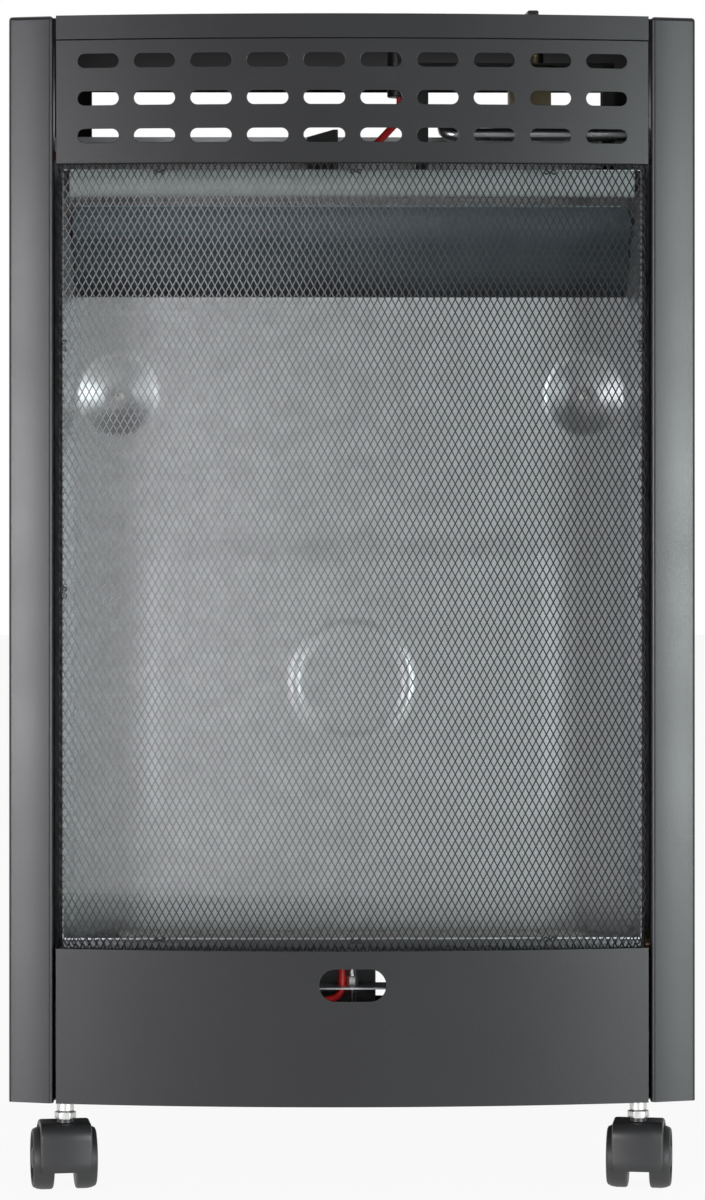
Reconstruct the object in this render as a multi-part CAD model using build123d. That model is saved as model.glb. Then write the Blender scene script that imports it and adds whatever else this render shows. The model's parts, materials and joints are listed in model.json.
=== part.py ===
"""Portable gas cabinet heater of the blue-flame kind, in millimetres.

Origin: centre of the footprint, on the floor. +X is the viewer's right, -Y is the front, +Z is up.
"""

from build123d import *
from math import asin, atan2, cos, degrees, hypot, radians, sin, sqrt, tan
import os

os.makedirs("parts", exist_ok=True)

# ---------------------------------------------------------------- cabinet
cabinet_width = 435.0
cabinet_depth = 420.0
cabinet_top = 748.0
base_underside = 61.0
head_space = 97.0           # from the shelf over the fire box up to the lid
sheet = 0.8                 # painted cabinet steel
tin = 0.6                   # galvanised inner steel
base_sheet = 1.2
lap = 0.2                   # between sheets that lie on one another
fold_radius = 2.0
bar_sides = 16              # flats that stand for the round of small repeated bars and their holes

# ---------------------------------------------------------------- front
bow_rise = 15.5             # the front stands this far out at the middle
sector_depth = 60.0         # of the solids that the bowed sheets are cut from
column_width = 28.5
column_lean = 10.0          # degrees that a column's face turns back outwards
column_return = 14.0
column_gap = 1.7            # dark joint between columns and front panels
rear_flange = 30.0
top_flange_height = 15.0
seam = 0.6                  # joint between the two upper panels
upper_panel_rise = 3.6      # of the upper panel's foot over the shelf
guard_seam = 0.8
lower_panel_height = 97.8
panel_return = 13.0
panel_head = 5.5            # depth of the lower panel's folded head
top_edge_drop = 10.0        # depth of the lid's side and rear edges

# ---------------------------------------------------------------- slots and window
slot_length = 26.0
slot_height = 8.8
slot_margin = 13.875        # between the last slots and the panel's sides
slot_columns = 10
slot_row_pitch = 23.7
slot_rows = 3
slot_top_drop = 11.4        # of the top row's middle under the panel's head
window_length = 42.0
window_height = 20.4
window_drop = 21.4          # of the window's middle under the panel's head

# ---------------------------------------------------------------- guard
guard_sheet = 1.0
guard_return = 10.0
guard_bottom_band = 32.0    # the guard folds inwards below this height above its foot
guard_bottom_inset = 7.0
guard_cells_across = 10
guard_cells_up = 8
guard_strand = 4.0
guard_rim = 11.0
clip_wire = 0.8
clip_span = 7.0
guard_clip_inset = 6.0
guard_clip_places = (-122.0, 2.0, 125.0)

# ---------------------------------------------------------------- reflector
reflector_side_gap = 9.0    # between the columns' inner edges and the reflector's back corners
reflector_splay = 3.0       # each side wall opens this much towards the front
reflector_setback = 8.5     # of the reflector's mouth behind the columns' front edges
reflector_depth = 65.0
reflector_head_drop = 78.0  # of the pressed back's top edge under the shelf
pan_rise = 85.0             # of the pan over the cabinet's underside
lip_height = 18.5
dish_side_inset = 28.0
dish_drop = 64.0            # of the dishes' middles under the pressed back's top edge
dish_radius = 27.0
dish_floor_radius = 9.0
ring_radius = 37.0
ring_sides = 24
dish_sides = 16
ring_width = 9.0
ring_crest = 3.0
ring_height = 3.0
emboss_side_inset = 39.5
emboss_foot_rise = 78.5     # over the pan
emboss_head_drop = 151.5    # under the pressed back's top edge
emboss_bevel = 12.0
emboss_corner = 18.0
emboss_depth = 4.0

# ---------------------------------------------------------------- hood and baffle
hood_gap = 0.8              # between the hood's ends and the reflector's side walls
hood_drop = 23.0            # of the hood's front edge under the shelf
hood_hem = 7.0              # of the hood that lies against the pressed back
hood_corner = 11.0
hood_sag = 12.0
baffle_lip = 20.0

# ---------------------------------------------------------------- inner wall and rear cover
wall_gap = 8.0              # between the reflector's back and the inner wall
wall_upstand = 27.0         # of the inner wall over the shelf
wall_flange = 12.0
cutout_left = 16.0
cutout_right = 86.0
cutout_rise = 21.0          # over the cabinet's underside
cutout_height = 60.0
rear_rim = 9.0              # the floor's rims stand this high
cover_rise = 61.0           # of the cover's foot over the cabinet's underside
cover_drop = 5.0            # of its head under the shelf
cover_overlap = 11.0        # the cover lies this far over each rear flange
cover_gap = 0.3
cover_field_inset = 18.0
cover_field_bevel = 4.0
cover_slot_rows = 4
cover_slot_columns = 3
cover_slot_length = 64.0
cover_slot_height = 6.0
cover_slot_pitch_x = 90.0
cover_slot_pitch_z = 18.0
cover_slot_rise = 184.0     # of the top row over the cover's foot
grip_length = 90.0
grip_height = 24.0
grip_drop = 40.0

# ---------------------------------------------------------------- burner and pilot
burner_half_width = 7.0
burner_end_gap = 30.0       # between the bar's ends and the reflector's back corners
burner_wall = 1.0
burner_back_gap = 19.0      # between the bar's middle and the reflector's back
burner_ports = 13
burner_port_pitch = 20.0
burner_port_length = 9.0
burner_port_width = 2.0
saddle_inset = 40.0         # from the bar's ends
saddle_height = 1.9
saddle_width = 14.0
venturi_radius = 5.5
venturi_air_gap = 2.4
injector_across = 11.0
injector_length = 7.0
plate_drop = 13.0           # under the pan
plate_sheet = 1.0
plate_half_length = 33.0
plate_depth = 26.0
pilot_setback = 10.0        # behind the reflector's mouth
pilot_tube_radius = 2.4
pilot_nut_across = 7.0
pilot_nut_height = 6.0
pilot_head_radius = 3.2
pilot_head_rise = 16.0      # over the plate
pilot_head_height = 14.0
electrode_x = -6.7
ceramic_radius = 2.9
ceramic_rise = 14.4         # over the plate
ceramic_length = 10.6
electrode_tip_radius = 0.8
electrode_tip_length = 10.0
electrode_lean = 25.0       # degrees towards the burner bar
thermocouple_radius = 1.8
thermocouple_length = 30.0
thermocouple_lead_radius = 0.9
thermocouple_drop = 4.0     # under the pilot head's top
lead_radius = 2.4
hole_clearance = 0.6
channel_gap = 16.4          # from the reflector's mouth to the middle of the channels beside it

# ---------------------------------------------------------------- gas valve and controls
knob_side_inset = 99.5
controls_setback = 1.0      # of the knob and the igniter behind the inner wall's face
knob_radius = 21.0
knob_skirt = 4.0
knob_height = 7.9
knob_grip_width = 10.0
knob_lift = 3.3
knob_hole_gap = 3.0         # between the spindle and the lid
spindle_radius = 4.0
spindle_travel = 3.0
running_clearance = 0.06
plunger_height = 6.0
plunger_seat = 6.0          # of the bore's floor over the valve's underside
valve_left_reach = 15.0     # from the spindle
valve_right_reach = 12.0
valve_half_depth = 14.0
pilot_port_inset = 5.0
pilot_port_setback = 8.0    # in front of the spindle
valve_lid_gap = 3.2         # between the valve's neck and the lid
valve_height = 38.0
valve_neck_radius = 8.0
valve_neck_height = 20.0
valve_port_rise = 6.0
hose_port_rise = 22.0
bracket_sheet = 1.2
bracket_leg_width = 8.0
bracket_left_inset = 10.0   # from the igniter
bracket_right_reach = 53.0  # from the spindle
bracket_half_depth = 16.0
union_across = 12.0
union_length = 9.0
pipe_radius = 4.2
pipe_rise = 26.5            # over the shelf
pipe_drop_reach = 58.0      # of the pipe's turn towards the front, from the spindle
pipe_bend = 9.0
pilot_run_rise = 11.0       # of the pilot tube's upper run over the shelf
pilot_low_rise = 36.0       # of its lowest run over the floor
hose_tail_radius = 4.0
hose_tail_length = 26.0
hose_tail_wall = 1.5
hose_hex_across = 14.0
hose_hex_length = 10.0
igniter_spacing = 86.0      # from the spindle
igniter_bezel_radius = 11.0
igniter_bezel_height = 2.0
igniter_body_radius = 8.5
igniter_body_depth = 44.0   # under the lid's top
igniter_button_radius = 7.0
igniter_rise = 5.0
igniter_travel = 3.5
igniter_nut_radius = 12.5
igniter_nut_height = 4.0
lead_foot_rise = 22.0       # of the lead's first corner over its level run
clip_left = -29.0
clip_right = -8.7
clip_half_depth = 5.0
clip_rise = 30.0            # of the clip's high end over the shelf
clip_slope = 5.0            # its top falls this much towards the left
clip_flat = 3.0
lead_run_rise = 17.0        # of the lead's level run over the shelf
lead_run_gap = 13.0         # in front of the igniter's middle
lead_turn_x = -60.0
lead_drop_setback = 21.0    # of its run down the channel, behind the pilot
lead_low_drop = 15.0        # of its lowest run under the pilot's plate
lead_rise_x = -50.0
lead_foot_drop = 8.0
sensor_turn_gap = 13.0      # of the sensor lead's corner beyond the bracket

# ---------------------------------------------------------------- casters
caster_side_inset = 34.5
caster_front_inset = 42.0
caster_rear_inset = 45.0
caster_toe = 8.0            # degrees that each caster stands turned
caster_trail = 13.0
wheel_radius = 20.0
wheel_inner = 7.0           # the wheels' inner faces stand this far from the middle
wheel_width = 13.5
wheel_flats = 32
axle_radius = 3.0
axle_half = 16.0
fork_half = 6.5             # half the width of the web between the wheels
fork_cover_half = 16.5
fork_wall = 2.9
fork_wheel_gap = 1.6
fork_front_angle = -23.0    # the hood's front hem, seen from the axle: 10.5 above the floor
fork_rear_angle = 165.0
fork_flats = 8
stem_radius = 4.0
stem_foot_drop = 2.0        # of the stem's foot under the axle's height
stem_collar_radius = 5.6
stem_collar_gap = 0.4
stem_collar_height = 4.1
stem_nut_across = 12.5
stem_nut_height = 4.4
stem_shank_across = 10.0
stem_thread_across = 6.6
stem_rise = 11.0            # over the cabinet's underside

# ---------------------------------------------------------------- fasteners
screw_fit = 0.1
screw_head_radius = 3.6
screw_head_height = 2.0
rim_screw_inset = 14.5
rim_screw_rise = 5.8
foot_screw_inset = 77.5
foot_screw_gap = 7.0        # in front of the inner wall's face

# ---------------------------------------------------------------- derived places
half_width = cabinet_width / 2
front_y = -cabinet_depth / 2
rear_y = cabinet_depth / 2
inner_wall = half_width - sheet
column_inner = half_width - column_width
panel_half = column_inner - column_gap
bow_radius = (panel_half ** 2 + bow_rise ** 2) / (2 * bow_rise)
bow_centre_y = front_y + bow_radius
column_front = front_y + bow_rise
column_back = column_front + column_width * tan(radians(column_lean))
panel_underside = cabinet_top - sheet
floor_top = base_underside + base_sheet
wall_top = cabinet_top - head_space
baffle_z = wall_top

top_flange_bottom = cabinet_top - top_flange_height
upper_panel_top = top_flange_bottom - seam
upper_panel_bottom = wall_top + upper_panel_rise
lower_panel_top = base_underside + lower_panel_height
slot_top_row = upper_panel_top - slot_top_drop
slot_pitch = 2 * (panel_half - slot_margin - slot_length / 2) / (slot_columns - 1)
window_centre = lower_panel_top - window_drop
guard_top = upper_panel_bottom - guard_seam
guard_bottom = lower_panel_top + guard_seam
guard_half = panel_half - guard_seam

reflector_half_width = column_inner - reflector_side_gap
reflector_front = column_front + reflector_setback
reflector_back = reflector_front + reflector_depth
reflector_top = wall_top - reflector_head_drop
reflector_pan = base_underside + pan_rise
reflector_lip_top = reflector_pan + lip_height
mouth_end = reflector_half_width + reflector_splay + tin
wall_y = reflector_back + wall_gap
wall_head = wall_top + wall_upstand
dish_x = reflector_half_width - dish_side_inset
dish_z = reflector_top - dish_drop
dish_depth = wall_gap - lap - tin
emboss_width = 2 * (reflector_half_width - emboss_side_inset)
emboss_bottom = reflector_pan + emboss_foot_rise
emboss_top = reflector_top - emboss_head_drop
emboss_centre = (emboss_bottom + emboss_top) / 2
emboss_height = emboss_top - emboss_bottom
hood_top = wall_top - hood_drop
hood_foot = reflector_top - hood_hem
cutout_bottom = base_underside + cutout_rise
cutout_top = cutout_bottom + cutout_height
cover_bottom = base_underside + cover_rise
cover_top = wall_top - cover_drop
cover_slot_top = cover_bottom + cover_slot_rise

burner_half = reflector_half_width - burner_end_gap
burner_y = reflector_back - burner_back_gap
burner_z = reflector_pan + tin + saddle_height + burner_half_width
saddle_x = burner_half - saddle_inset
plate_top = reflector_pan - plate_drop
pilot_y = reflector_front + pilot_setback
pilot_head_bottom = plate_top + pilot_head_rise
pilot_head_top = pilot_head_bottom + pilot_head_height
ceramic_bottom = plate_top + ceramic_rise
ceramic_top = ceramic_bottom + ceramic_length
thermocouple_z = pilot_head_top - thermocouple_drop
channel_x = mouth_end + channel_gap

knob_x = half_width - knob_side_inset
knob_y = wall_y + controls_setback
knob_bottom = cabinet_top + knob_lift
igniter_x = knob_x - igniter_spacing
igniter_body_bottom = cabinet_top - igniter_body_depth
valve_left = knob_x - valve_left_reach
valve_right = knob_x + valve_right_reach
valve_bottom = panel_underside - valve_lid_gap - valve_neck_height - valve_height
valve_port_z = valve_bottom + valve_port_rise
hose_port_z = valve_bottom + hose_port_rise
bracket_left = igniter_x + bracket_left_inset
bracket_right = knob_x + bracket_right_reach
plunger_floor = valve_bottom + plunger_seat
pilot_port_x = valve_left + pilot_port_inset
pilot_port_y = knob_y - pilot_port_setback
pilot_run_z = wall_top + pilot_run_rise
pilot_low_z = floor_top + pilot_low_rise
pipe_z = wall_top + pipe_rise
lead_run_z = wall_top + lead_run_rise
lead_run_y = knob_y - lead_run_gap
lead_low_z = plate_top - lead_low_drop

caster_x = half_width - caster_side_inset
caster_front_y = front_y + caster_front_inset
caster_rear_y = rear_y - caster_rear_inset
fork_top = 2 * wheel_radius + fork_wheel_gap + fork_wall
stem_foot = wheel_radius - stem_foot_drop
stem_top = base_underside + stem_rise


def bow_y(x, inset=0.0):
    """Y of the bowed front at x, moved in by inset along the radius."""
    return bow_centre_y - sqrt((bow_radius - inset) ** 2 - x ** 2)


def bow_point(x, inset=0.0):
    """Point of the bowed front in plan."""
    return (x, bow_y(x, inset))


def bow_sector(half, inset, low, high, depth=sector_depth, stations=()):
    """Solid behind the bowed front, between two heights: an arc, or flats between named stations."""
    back = bow_y(half, inset) + depth
    rim = Polyline(bow_point(half, inset), (half, back), (-half, back), bow_point(-half, inset))
    if stations:
        front = Polyline(*[bow_point(x, inset) for x in (-half, *stations, half)])
    else:
        front = ThreePointArc(bow_point(-half, inset), (0, front_y + inset), bow_point(half, inset))
    return Pos(0, 0, low) * extrude(make_face(front.edges() + rim.edges()), high - low)


def bow_strip(half, inset, thick, low, high, stations=()):
    """Sheet that follows the bowed front, as thick as named."""
    outer = bow_sector(half, inset, low, high, stations=stations)
    return outer - bow_sector(half, inset + thick, low, high, stations=stations)


def slot_outline(length, height):
    """Slot whose two ends are half octagons."""
    flat = height * tan(radians(22.5)) / 2
    end = length / 2
    corner = height / 2 - flat
    points = [(end, flat), (end - corner, height / 2), (corner - end, height / 2), (-end, flat),
              (-end, -flat), (corner - end, -height / 2), (end - corner, -height / 2), (end, -flat)]
    return make_face(Polyline(*points, close=True))


def block(x_span, y_span, z_span):
    """Box between two values along each axis."""
    size = [max(span) - min(span) for span in (x_span, y_span, z_span)]
    middle = [sum(span) / 2 for span in (x_span, y_span, z_span)]
    return Pos(*middle) * Box(*size)


def upright(x, y, radius, low, high):
    """Round bar along Z."""
    return Pos(x, y, (low + high) / 2) * Cylinder(radius, high - low)


def along_y(x, z, radius, start, end):
    """Round bar along Y."""
    return Pos(x, (start + end) / 2, z) * Rot(90, 0, 0) * Cylinder(radius, abs(end - start))


def along_x(y, z, radius, start, end):
    """Round bar along X."""
    return Pos((start + end) / 2, y, z) * Rot(0, 90, 0) * Cylinder(radius, abs(end - start))


def fluted(plane, radius, length, sides=bar_sides, outside=False):
    """Bar with as many flats as named, inside its round size, or outside it for a hole."""
    outline = RegularPolygon(radius, sides, major_radius=not outside)
    return extrude(plane * outline, length)


def folded(points, radius, thick, low, high, side=Side.LEFT):
    """Sheet folded along a plan outline, standing between two heights."""
    line = FilletPolyline(*points, radius=radius)
    profile = make_face(offset(line, amount=thick, side=side).edges())
    return Pos(0, 0, low) * extrude(profile, high - low)


def bent_route(points, radii):
    """Route with every corner eased by the points where an arc starts, peaks and ends."""
    points = [Vector(*point) for point in points]
    route = [points[0]]
    for before, corner, after, radius in zip(points, points[1:], points[2:], radii):
        arrive = (corner - before).normalized()
        leave = (after - corner).normalized()
        half_turn = radians(arrive.get_angle(leave)) / 2
        tangent = radius * tan(half_turn)
        inward = (leave - arrive).normalized()
        peak = corner + inward * (radius / cos(half_turn) - radius)
        route += [corner - arrive * tangent, peak, corner + leave * tangent]
    return route + [points[-1]]


def swept_rod(points, radii, radius):
    """Six-sided rod along a route with eased corners."""
    path = Polyline(*bent_route(points, radii))
    section = Plane(origin=path @ 0, z_dir=path % 0) * RegularPolygon(radius, 6)
    return sweep(section, path=path, transition=Transition.RIGHT)


def regular(radius, sides, x=0.0):
    """Corners of a regular polygon about a point on the plane's x axis."""
    turns = [radians(360 * index / sides) for index in range(sides)]
    return [(x + radius * cos(turn), radius * sin(turn)) for turn in turns]


def frustum(plane, foot, head, height):
    """Flat-sided boss between two outlines with as many corners, one above the other."""
    low = [plane.from_local_coords((x, y, 0)) for x, y in foot]
    high = [plane.from_local_coords((x, y, height)) for x, y in head]
    rings = [low, high]
    for index in range(len(low)):
        after = (index + 1) % len(low)
        rings.append([low[index], low[after], high[after], high[index]])
    return Solid(Shell([Face(Wire.make_polygon(ring)) for ring in rings]))


def screw_head():
    """Hexagonal screw head that sits on the origin."""
    return hex_bar(2 * screw_head_radius, screw_head_height)


def front_face(y, z):
    """Plane that faces the viewer at depth y, centred at height z."""
    return Plane(origin=(0, y, z), x_dir=(1, 0, 0), z_dir=(0, -1, 0))


def rear_face(y, z):
    """Plane that faces backwards at depth y, with x kept as in the front view."""
    return Plane(origin=(0, y, z), x_dir=(-1, 0, 0), z_dir=(0, 1, 0))


def front_cut(sketches, depth):
    """Cutter through the bowed front, no deeper than named behind its middle."""
    return extrude(front_face(front_y - 1, 0) * (Sketch() + sketches), -depth - 1)


def hex_bar(across, length):
    """Solid hexagon standing on the origin."""
    return extrude(RegularPolygon(across / 2, 6, major_radius=False), length)


def save(name, shape):
    """Write one sub-part."""
    if isinstance(shape, (list, tuple, ShapeList)):
        shape = Compound(children=[piece for item in shape for piece in item.solids()])
    export_step(shape, f"parts/{name}.step")
    print(name, len(shape.solids()), round(sum(s.volume for s in shape.solids())))


# ================================================================ cabinet shell
flange_y = rear_y - screw_head_height - 2 * lap         # outer face of the rear flanges
wing = inner_wall - lap                                 # half width of what stands between the side walls
wing_front = column_front + column_return + lap
cover_half = half_width - rear_flange + cover_overlap


def side_panel():
    """Right side: column face, side wall and rear flange folded from one sheet."""
    outline = [
        (column_inner, column_front + column_return),
        (column_inner, column_front),
        (half_width, column_back),
        (half_width, flange_y),
        (half_width - rear_flange, flange_y),
    ]
    panel = folded(outline, fold_radius, sheet, base_underside, panel_underside)
    cap_points = [
        (column_inner, column_front + column_return),
        (column_inner, column_front),
        (half_width, column_back),
        (half_width, column_front + column_return),
    ]
    cap = make_face(Polyline(*cap_points, close=True))
    cap = fillet(cap.vertices().sort_by(Axis.Y)[0:2], fold_radius)
    panel += Pos(0, 0, panel_underside) * extrude(cap, sheet)
    return panel


def top_panel():
    """Flat lid with a bowed front flange, notched round the two columns."""
    front = bow_sector(panel_half, 0, panel_underside, cabinet_top, depth=column_return + 2 * lap)
    lid = front + block((-half_width, half_width), (wing_front, rear_y), (panel_underside, cabinet_top))
    lid += bow_strip(panel_half, 0, sheet, top_flange_bottom, cabinet_top)
    lid += bow_strip(panel_half, 0, panel_return, top_flange_bottom, top_flange_bottom + sheet)
    for side in (-1, 1):
        lid += block((side * wing, side * (wing - sheet)), (wing_front + 6, flange_y - rear_flange),
                     (panel_underside - top_edge_drop, panel_underside))
    lid += block((-wing, wing), (rear_y - sheet, rear_y),
                 (panel_underside - top_edge_drop, panel_underside))
    under = panel_underside - 1
    lid -= fluted(Plane((knob_x, knob_y, under)), spindle_radius + knob_hole_gap, sheet + 2, outside=True)
    lid -= fluted(Plane((igniter_x, knob_y, under)), igniter_body_radius + screw_fit, sheet + 2, 12)
    return lid


def upper_front_panel():
    """Bowed panel with three rows of warm-air slots."""
    stations = [(index - slot_columns / 2) * slot_pitch for index in range(slot_columns + 1)]
    panel = bow_strip(panel_half, 0, sheet, upper_panel_bottom, upper_panel_top, stations)
    for level in (upper_panel_bottom, upper_panel_top - sheet):
        panel += bow_strip(panel_half, 0, panel_return, level, level + sheet, stations)
    slots = []
    for row in range(slot_rows):
        for column in range(slot_columns):
            x = (column - (slot_columns - 1) / 2) * slot_pitch
            z = slot_top_row - row * slot_row_pitch
            slots.append(Pos(x, z) * slot_outline(slot_length, slot_height))
    return panel - front_cut(slots, bow_rise + 4)


def lower_front_panel():
    """Bowed panel with the pilot window and a folded head."""
    panel = bow_strip(panel_half, 0, sheet, base_underside, lower_panel_top)
    panel += bow_strip(panel_half, 0, panel_head, lower_panel_top - sheet, lower_panel_top)
    for side in (-1, 1):
        x = side * panel_half
        panel += block((x, x - side * sheet), (column_front, column_front + panel_return),
                       (base_underside, lower_panel_top))
    window = Pos(0, window_centre) * SlotOverall(window_length, window_height)
    return panel - front_cut([window], panel_head)


def base_plate():
    """Floor tray with upstanding rims and four caster holes."""
    inset = sheet + lap
    half = panel_half - inset
    rear = flange_y - sheet - lap
    floor = bow_sector(half, inset, base_underside, floor_top, depth=rear - bow_y(half, inset))
    floor += block((-wing, wing), (wing_front, rear), (base_underside, floor_top))
    rim_top = floor_top + rear_rim
    floor += bow_strip(half, inset, base_sheet, base_underside, rim_top)
    for side in (-1, 1):
        floor += block((side * wing, side * (wing - base_sheet)), (wing_front + fold_radius, rear),
                       (base_underside, rim_top))
    floor += block((-wing, wing), (rear - base_sheet, rear), (base_underside, rim_top))
    corners = floor.edges().filter_by(Axis.Z).filter_by_position(Axis.Y, rear - lap, rear + lap)
    floor = fillet(corners, fold_radius)
    for x, y in caster_places():
        floor -= fluted(Plane((x, y, base_underside - 1)), stem_radius + screw_fit, base_sheet + 2, 8, True)
    return floor


def caster_places():
    """Stem centres of the four casters."""
    return [(x, y) for y in (caster_front_y, caster_rear_y) for x in (-caster_x, caster_x)]


def rear_cover():
    """Lift-off cover with a raised field, air slots and a hand hole."""
    back = flange_y + cover_gap + sheet
    height = cover_top - cover_bottom
    middle = (cover_top + cover_bottom) / 2
    plate = block((-cover_half, cover_half), (flange_y - 20, back), (cover_bottom, cover_top))
    inset = cover_field_inset
    low = rear_face(back, middle) * Rectangle(2 * (cover_half - inset), height - 2 * inset)
    inset += cover_field_bevel
    high = rear_face(rear_y, middle) * Rectangle(2 * (cover_half - inset), height - 2 * inset)
    field = plate + loft([low, high], ruled=True)
    cover = field - Pos(0, -sheet, 0) * field
    cuts = [Pos(0, cover_top - grip_drop) * slot_outline(grip_length, grip_height)]
    for row in range(cover_slot_rows):
        for column in range(cover_slot_columns):
            x = (column - (cover_slot_columns - 1) / 2) * cover_slot_pitch_x
            z = cover_slot_top - row * cover_slot_pitch_z
            cuts.append(Pos(x, z) * slot_outline(cover_slot_length, cover_slot_height))
    return cover - extrude(rear_face(rear_y + 1, 0) * (Sketch() + cuts), -10)


# ================================================================ guard
def guard_stations():
    """Where the guard's flats meet: at the edges of its columns of cells."""
    cell = (2 * guard_half - 2 * guard_rim) / guard_cells_across
    return [(index - guard_cells_across / 2) * cell for index in range(guard_cells_across + 1)]


def guard_face(inset):
    """Solid behind the guard's surface: bowed, drawn in towards its foot."""
    band_top = guard_bottom + guard_bottom_band
    stations = guard_stations()
    body = bow_sector(guard_half, inset, band_top, guard_top, stations=stations)
    whole = bow_sector(guard_half, inset, guard_bottom, band_top, stations=stations)
    low = whole.faces().sort_by(Axis.Z)[0]
    high = whole.faces().sort_by(Axis.Z)[-1]
    return body + loft([Pos(0, guard_bottom_inset, 0) * low, high], ruled=True)


def guard_mesh():
    """Expanded-metal guard, drawn as a coarse lattice of the same shape."""
    shell = guard_face(0) - guard_face(guard_sheet)
    for side in (-1, 1):
        x = side * guard_half
        shell += block((x, x - side * guard_sheet), (bow_y(guard_half), bow_y(guard_half) + guard_return),
                       (guard_bottom + guard_bottom_band, guard_top))
    shell += bow_strip(guard_half, 0, guard_return, guard_top - guard_sheet, guard_top, guard_stations())
    cell_x = (2 * guard_half - 2 * guard_rim) / guard_cells_across
    cell_z = (guard_top - guard_bottom - 2 * guard_rim) / guard_cells_up
    slant = hypot(cell_x / 2, cell_z / 2)
    shrink = 1 - guard_strand * slant / (cell_x * cell_z / 2)
    tip_x = shrink * cell_x / 2
    tip_z = shrink * cell_z / 2
    diamond = make_face(Polyline((0, -tip_z), (tip_x, 0), (0, tip_z), (-tip_x, 0), close=True))
    middle = (guard_top + guard_bottom) / 2
    holes = []
    for row in range(2 * guard_cells_up - 1):
        count = guard_cells_across - row % 2
        for column in range(count):
            x = (column - (count - 1) / 2) * cell_x
            z = middle + (row - (guard_cells_up - 1)) * cell_z / 2
            holes.append(Pos(x, z) * diamond)
    return shell - front_cut(holes, bow_rise + guard_bottom_inset + 5)


def guard_clips():
    """Wire clips twisted round the guard's strands at its head and foot."""
    clips = []
    for x in guard_clip_places:
        for z in (guard_top - guard_clip_inset, guard_bottom + guard_clip_inset):
            drawn_in = guard_bottom_inset * max(0, 1 - (z - guard_bottom) / guard_bottom_band)
            y = bow_y(x) + drawn_in + guard_sheet + 2 * lap + clip_wire
            turn = degrees(asin(x / bow_radius))
            wire = Rot(0, 90, 0) * hex_bar(2 * clip_wire, clip_span)
            clips.append(Pos(x, y, z) * Rot(0, 0, turn) * Pos(-clip_span / 2, 0, 0) * wire)
    return clips


# ================================================================ reflector, hood and baffle
def chamfered(width, height, corner):
    """Corners of a rectangle with its corners cut off."""
    half, tall = width / 2, height / 2
    return [(half, tall - corner), (half - corner, tall), (corner - half, tall), (-half, tall - corner),
            (-half, corner - tall), (corner - half, -tall), (half - corner, -tall), (half, corner - tall)]


def pressed_back():
    """Region behind the reflector's back: raised field and bead, sunk dishes."""
    region = block((-reflector_half_width, reflector_half_width), (reflector_back, reflector_back + 30),
                   (reflector_pan, reflector_top))
    field_y = reflector_back - emboss_depth
    foot = chamfered(emboss_width, emboss_height, emboss_corner)
    head = chamfered(emboss_width - 2 * emboss_bevel, emboss_height - 2 * emboss_bevel,
                     emboss_corner - emboss_bevel / 2)
    region += frustum(front_face(reflector_back, emboss_centre), foot, head, emboss_depth)
    half = ring_width / 2
    crest = ring_crest / 2
    field = front_face(field_y, emboss_centre)
    region += frustum(field, regular(ring_radius + half, ring_sides),
                      regular(ring_radius + crest, ring_sides), ring_height)
    region -= frustum(field, regular(ring_radius - half, ring_sides),
                      regular(ring_radius - crest, ring_sides), ring_height)
    for side in (-1, 1):
        mouth = front_face(reflector_back, dish_z)
        region -= frustum(mouth, regular(dish_radius, dish_sides, side * dish_x),
                          regular(dish_floor_radius, dish_sides, side * dish_x), -dish_depth)
    return region


def reflector_tray():
    """Galvanised fire box: pressed back, two splayed side walls, pan and lip."""
    region = pressed_back()
    tray = region - Pos(0, tin, 0) * region
    mouth_half = reflector_half_width + reflector_splay
    for side in (-1, 1):
        outline = [(side * reflector_half_width, reflector_back + tin),
                   (side * (reflector_half_width + tin), reflector_back + tin),
                   (side * (mouth_half + tin), reflector_front),
                   (side * mouth_half, reflector_front),
                   (side * reflector_half_width, reflector_back)]
        wall = extrude(make_face(Polyline(*outline, close=True)), wall_top - reflector_pan)
        tray += Pos(0, 0, reflector_pan) * wall
    pan = make_face(Polyline((-reflector_half_width, reflector_back), (-mouth_half, reflector_front),
                             (mouth_half, reflector_front), (reflector_half_width, reflector_back),
                             close=True))
    tray += Pos(0, 0, reflector_pan) * extrude(pan, tin)
    tray += block((-mouth_half, mouth_half), (reflector_front, reflector_front + tin),
                  (reflector_pan, reflector_lip_top))
    tray -= along_x(burner_y, burner_z, venturi_radius + hole_clearance, mouth_half - 9, mouth_half + 9)
    sensor_hole = 2 * (thermocouple_lead_radius + hole_clearance)
    tray -= Pos(mouth_half, pilot_y, thermocouple_z) * Box(18, sensor_hole, sensor_hole)
    pilot_hole = block((electrode_x - lead_radius - hole_clearance, pilot_tube_radius + hole_clearance),
                       (pilot_y - lead_radius - hole_clearance, pilot_y + lead_radius + hole_clearance),
                       (reflector_pan - 2, reflector_pan + 2))
    return tray - pilot_hole


def deflector_hood():
    """Concave sheet from the fire box's head forward to the guard."""
    foot = (reflector_back + tin + hood_gap, hood_foot)
    bend = (foot[0], reflector_top + hood_gap)
    head = (reflector_front, hood_top)
    chord = hypot(head[0] - bend[0], head[1] - bend[1])
    normal = ((head[1] - bend[1]) / chord, (bend[0] - head[0]) / chord)
    middle = ((bend[0] + head[0]) / 2 + normal[0] * hood_sag,
              (bend[1] + head[1]) / 2 + normal[1] * hood_sag)
    line = Line(foot, bend) + ThreePointArc(bend, middle, head)
    profile = make_face(offset(line, amount=tin, side=Side.RIGHT).edges())
    half = reflector_half_width - hood_gap
    hood = extrude(Plane.YZ * profile, half, both=True)
    outline = RectangleRounded(2 * half, 2 * (hood_top + tin - hood_foot), hood_corner)
    return hood & extrude(front_face(reflector_front - 20, hood_foot) * outline, -120)


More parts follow.
